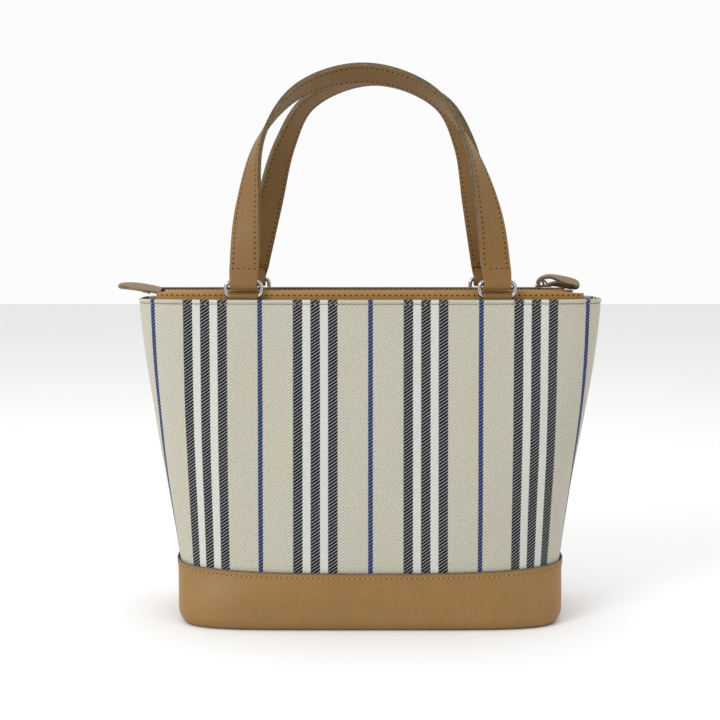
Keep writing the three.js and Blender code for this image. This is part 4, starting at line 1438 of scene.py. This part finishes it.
class TOTE_OT_stage(bpy.types.Operator):
    """Make the pale floor, the soft lights and the camera"""
    bl_idname = "tote.stage"
    bl_label = "Stage"

    def execute(self, context):
        self.floor()
        self.lights(context.scene)
        self.camera(context.scene)
        return {"FINISHED"}

    def floor(self):
        """A pale sweep under the bag."""
        start_clean()
        bpy.ops.mesh.primitive_plane_add(size=8, location=(0, 0, 0))
        floor = name_piece("floor")
        finish = Finish("pale_floor", {"Roughness": 0.9, "Specular IOR Level": 0.1})
        cloud = finish.noise(finish.place(), 3.0)
        finish.paint(finish.mix(cloud, (0.89, 0.89, 0.89), (0.91, 0.91, 0.91)))
        floor.data.materials.append(finish.material)

    def lights(self, scene):
        """A broad light from the upper left, a weaker one from the right and a bright surround."""
        world = bpy.data.worlds.new("surround")
        scene.world = world
        world.use_nodes = True
        studio = Nodes(world.node_tree)
        _, depth, _ = studio.axes(studio.place("Generated"))
        front = (0 - depth).ramp(0.15, 0.95)
        glow = studio.mix(front, GLOW_BEHIND, GLOW_IN_FRONT)
        studio.put(world.node_tree.nodes["Background"].inputs[0], glow)
        for name, place, size, power in LAMPS:
            data = bpy.data.lights.new(name, "AREA")
            data.energy = power
            data.size = size
            lamp = bpy.data.objects.new(name, data)
            scene.collection.objects.link(lamp)
            lamp.location = place
            lamp.rotation_euler = (LIT_POINT - Vector(place)).to_track_quat("-Z", "Y").to_euler()

    def camera(self, scene):
        """A long lens a little above the rim, tipped down slightly."""
        data = bpy.data.cameras.new("camera")
        data.lens = CAMERA_LENS
        data.sensor_width = SENSOR_WIDTH
        camera = bpy.data.objects.new("camera", data)
        scene.collection.objects.link(camera)
        camera.location = CAMERA_PLACE
        camera.rotation_euler = (math.radians(90 - CAMERA_TILT), 0, 0)
        scene.camera = camera
        scene.view_settings.view_transform = "Standard"


OPERATORS = (TOTE_OT_canvas, TOTE_OT_leather_base, TOTE_OT_lining, TOTE_OT_facings, TOTE_OT_rings,
             TOTE_OT_handles, TOTE_OT_zip, TOTE_OT_end_tab, TOTE_OT_slider, TOTE_OT_stage)


class TOTE_PT_panel(bpy.types.Panel):
    """Lists the bag's pieces"""
    bl_idname = "TOTE_PT_panel"
    bl_label = "Striped Tote Bag"
    bl_space_type = "VIEW_3D"
    bl_region_type = "UI"
    bl_category = "Tote"

    def draw(self, context):
        for operator in OPERATORS:
            self.layout.operator(operator.bl_idname)


CLASSES = (ToteSizes, ToteColours, *OPERATORS, TOTE_PT_panel)


def register():
    """Add the bag's classes and settings."""
    for cls in CLASSES:
        bpy.utils.register_class(cls)
    bpy.types.Scene.tote_sizes = bpy.props.PointerProperty(type=ToteSizes)
    bpy.types.Scene.tote_colours = bpy.props.PointerProperty(type=ToteColours)


def unregister():
    """Remove the bag's classes and settings."""
    del bpy.types.Scene.tote_sizes
    del bpy.types.Scene.tote_colours
    for cls in reversed(CLASSES):
        bpy.utils.unregister_class(cls)


def main():
    """Build the whole bag."""
    register()
    scene = bpy.context.scene
    make_finishes(scene.tote_sizes, scene.tote_colours)
    for operator in OPERATORS:
        group, name = operator.bl_idname.split(".")
        getattr(getattr(bpy.ops, group), name)()


if __name__ == "__main__":
    main()
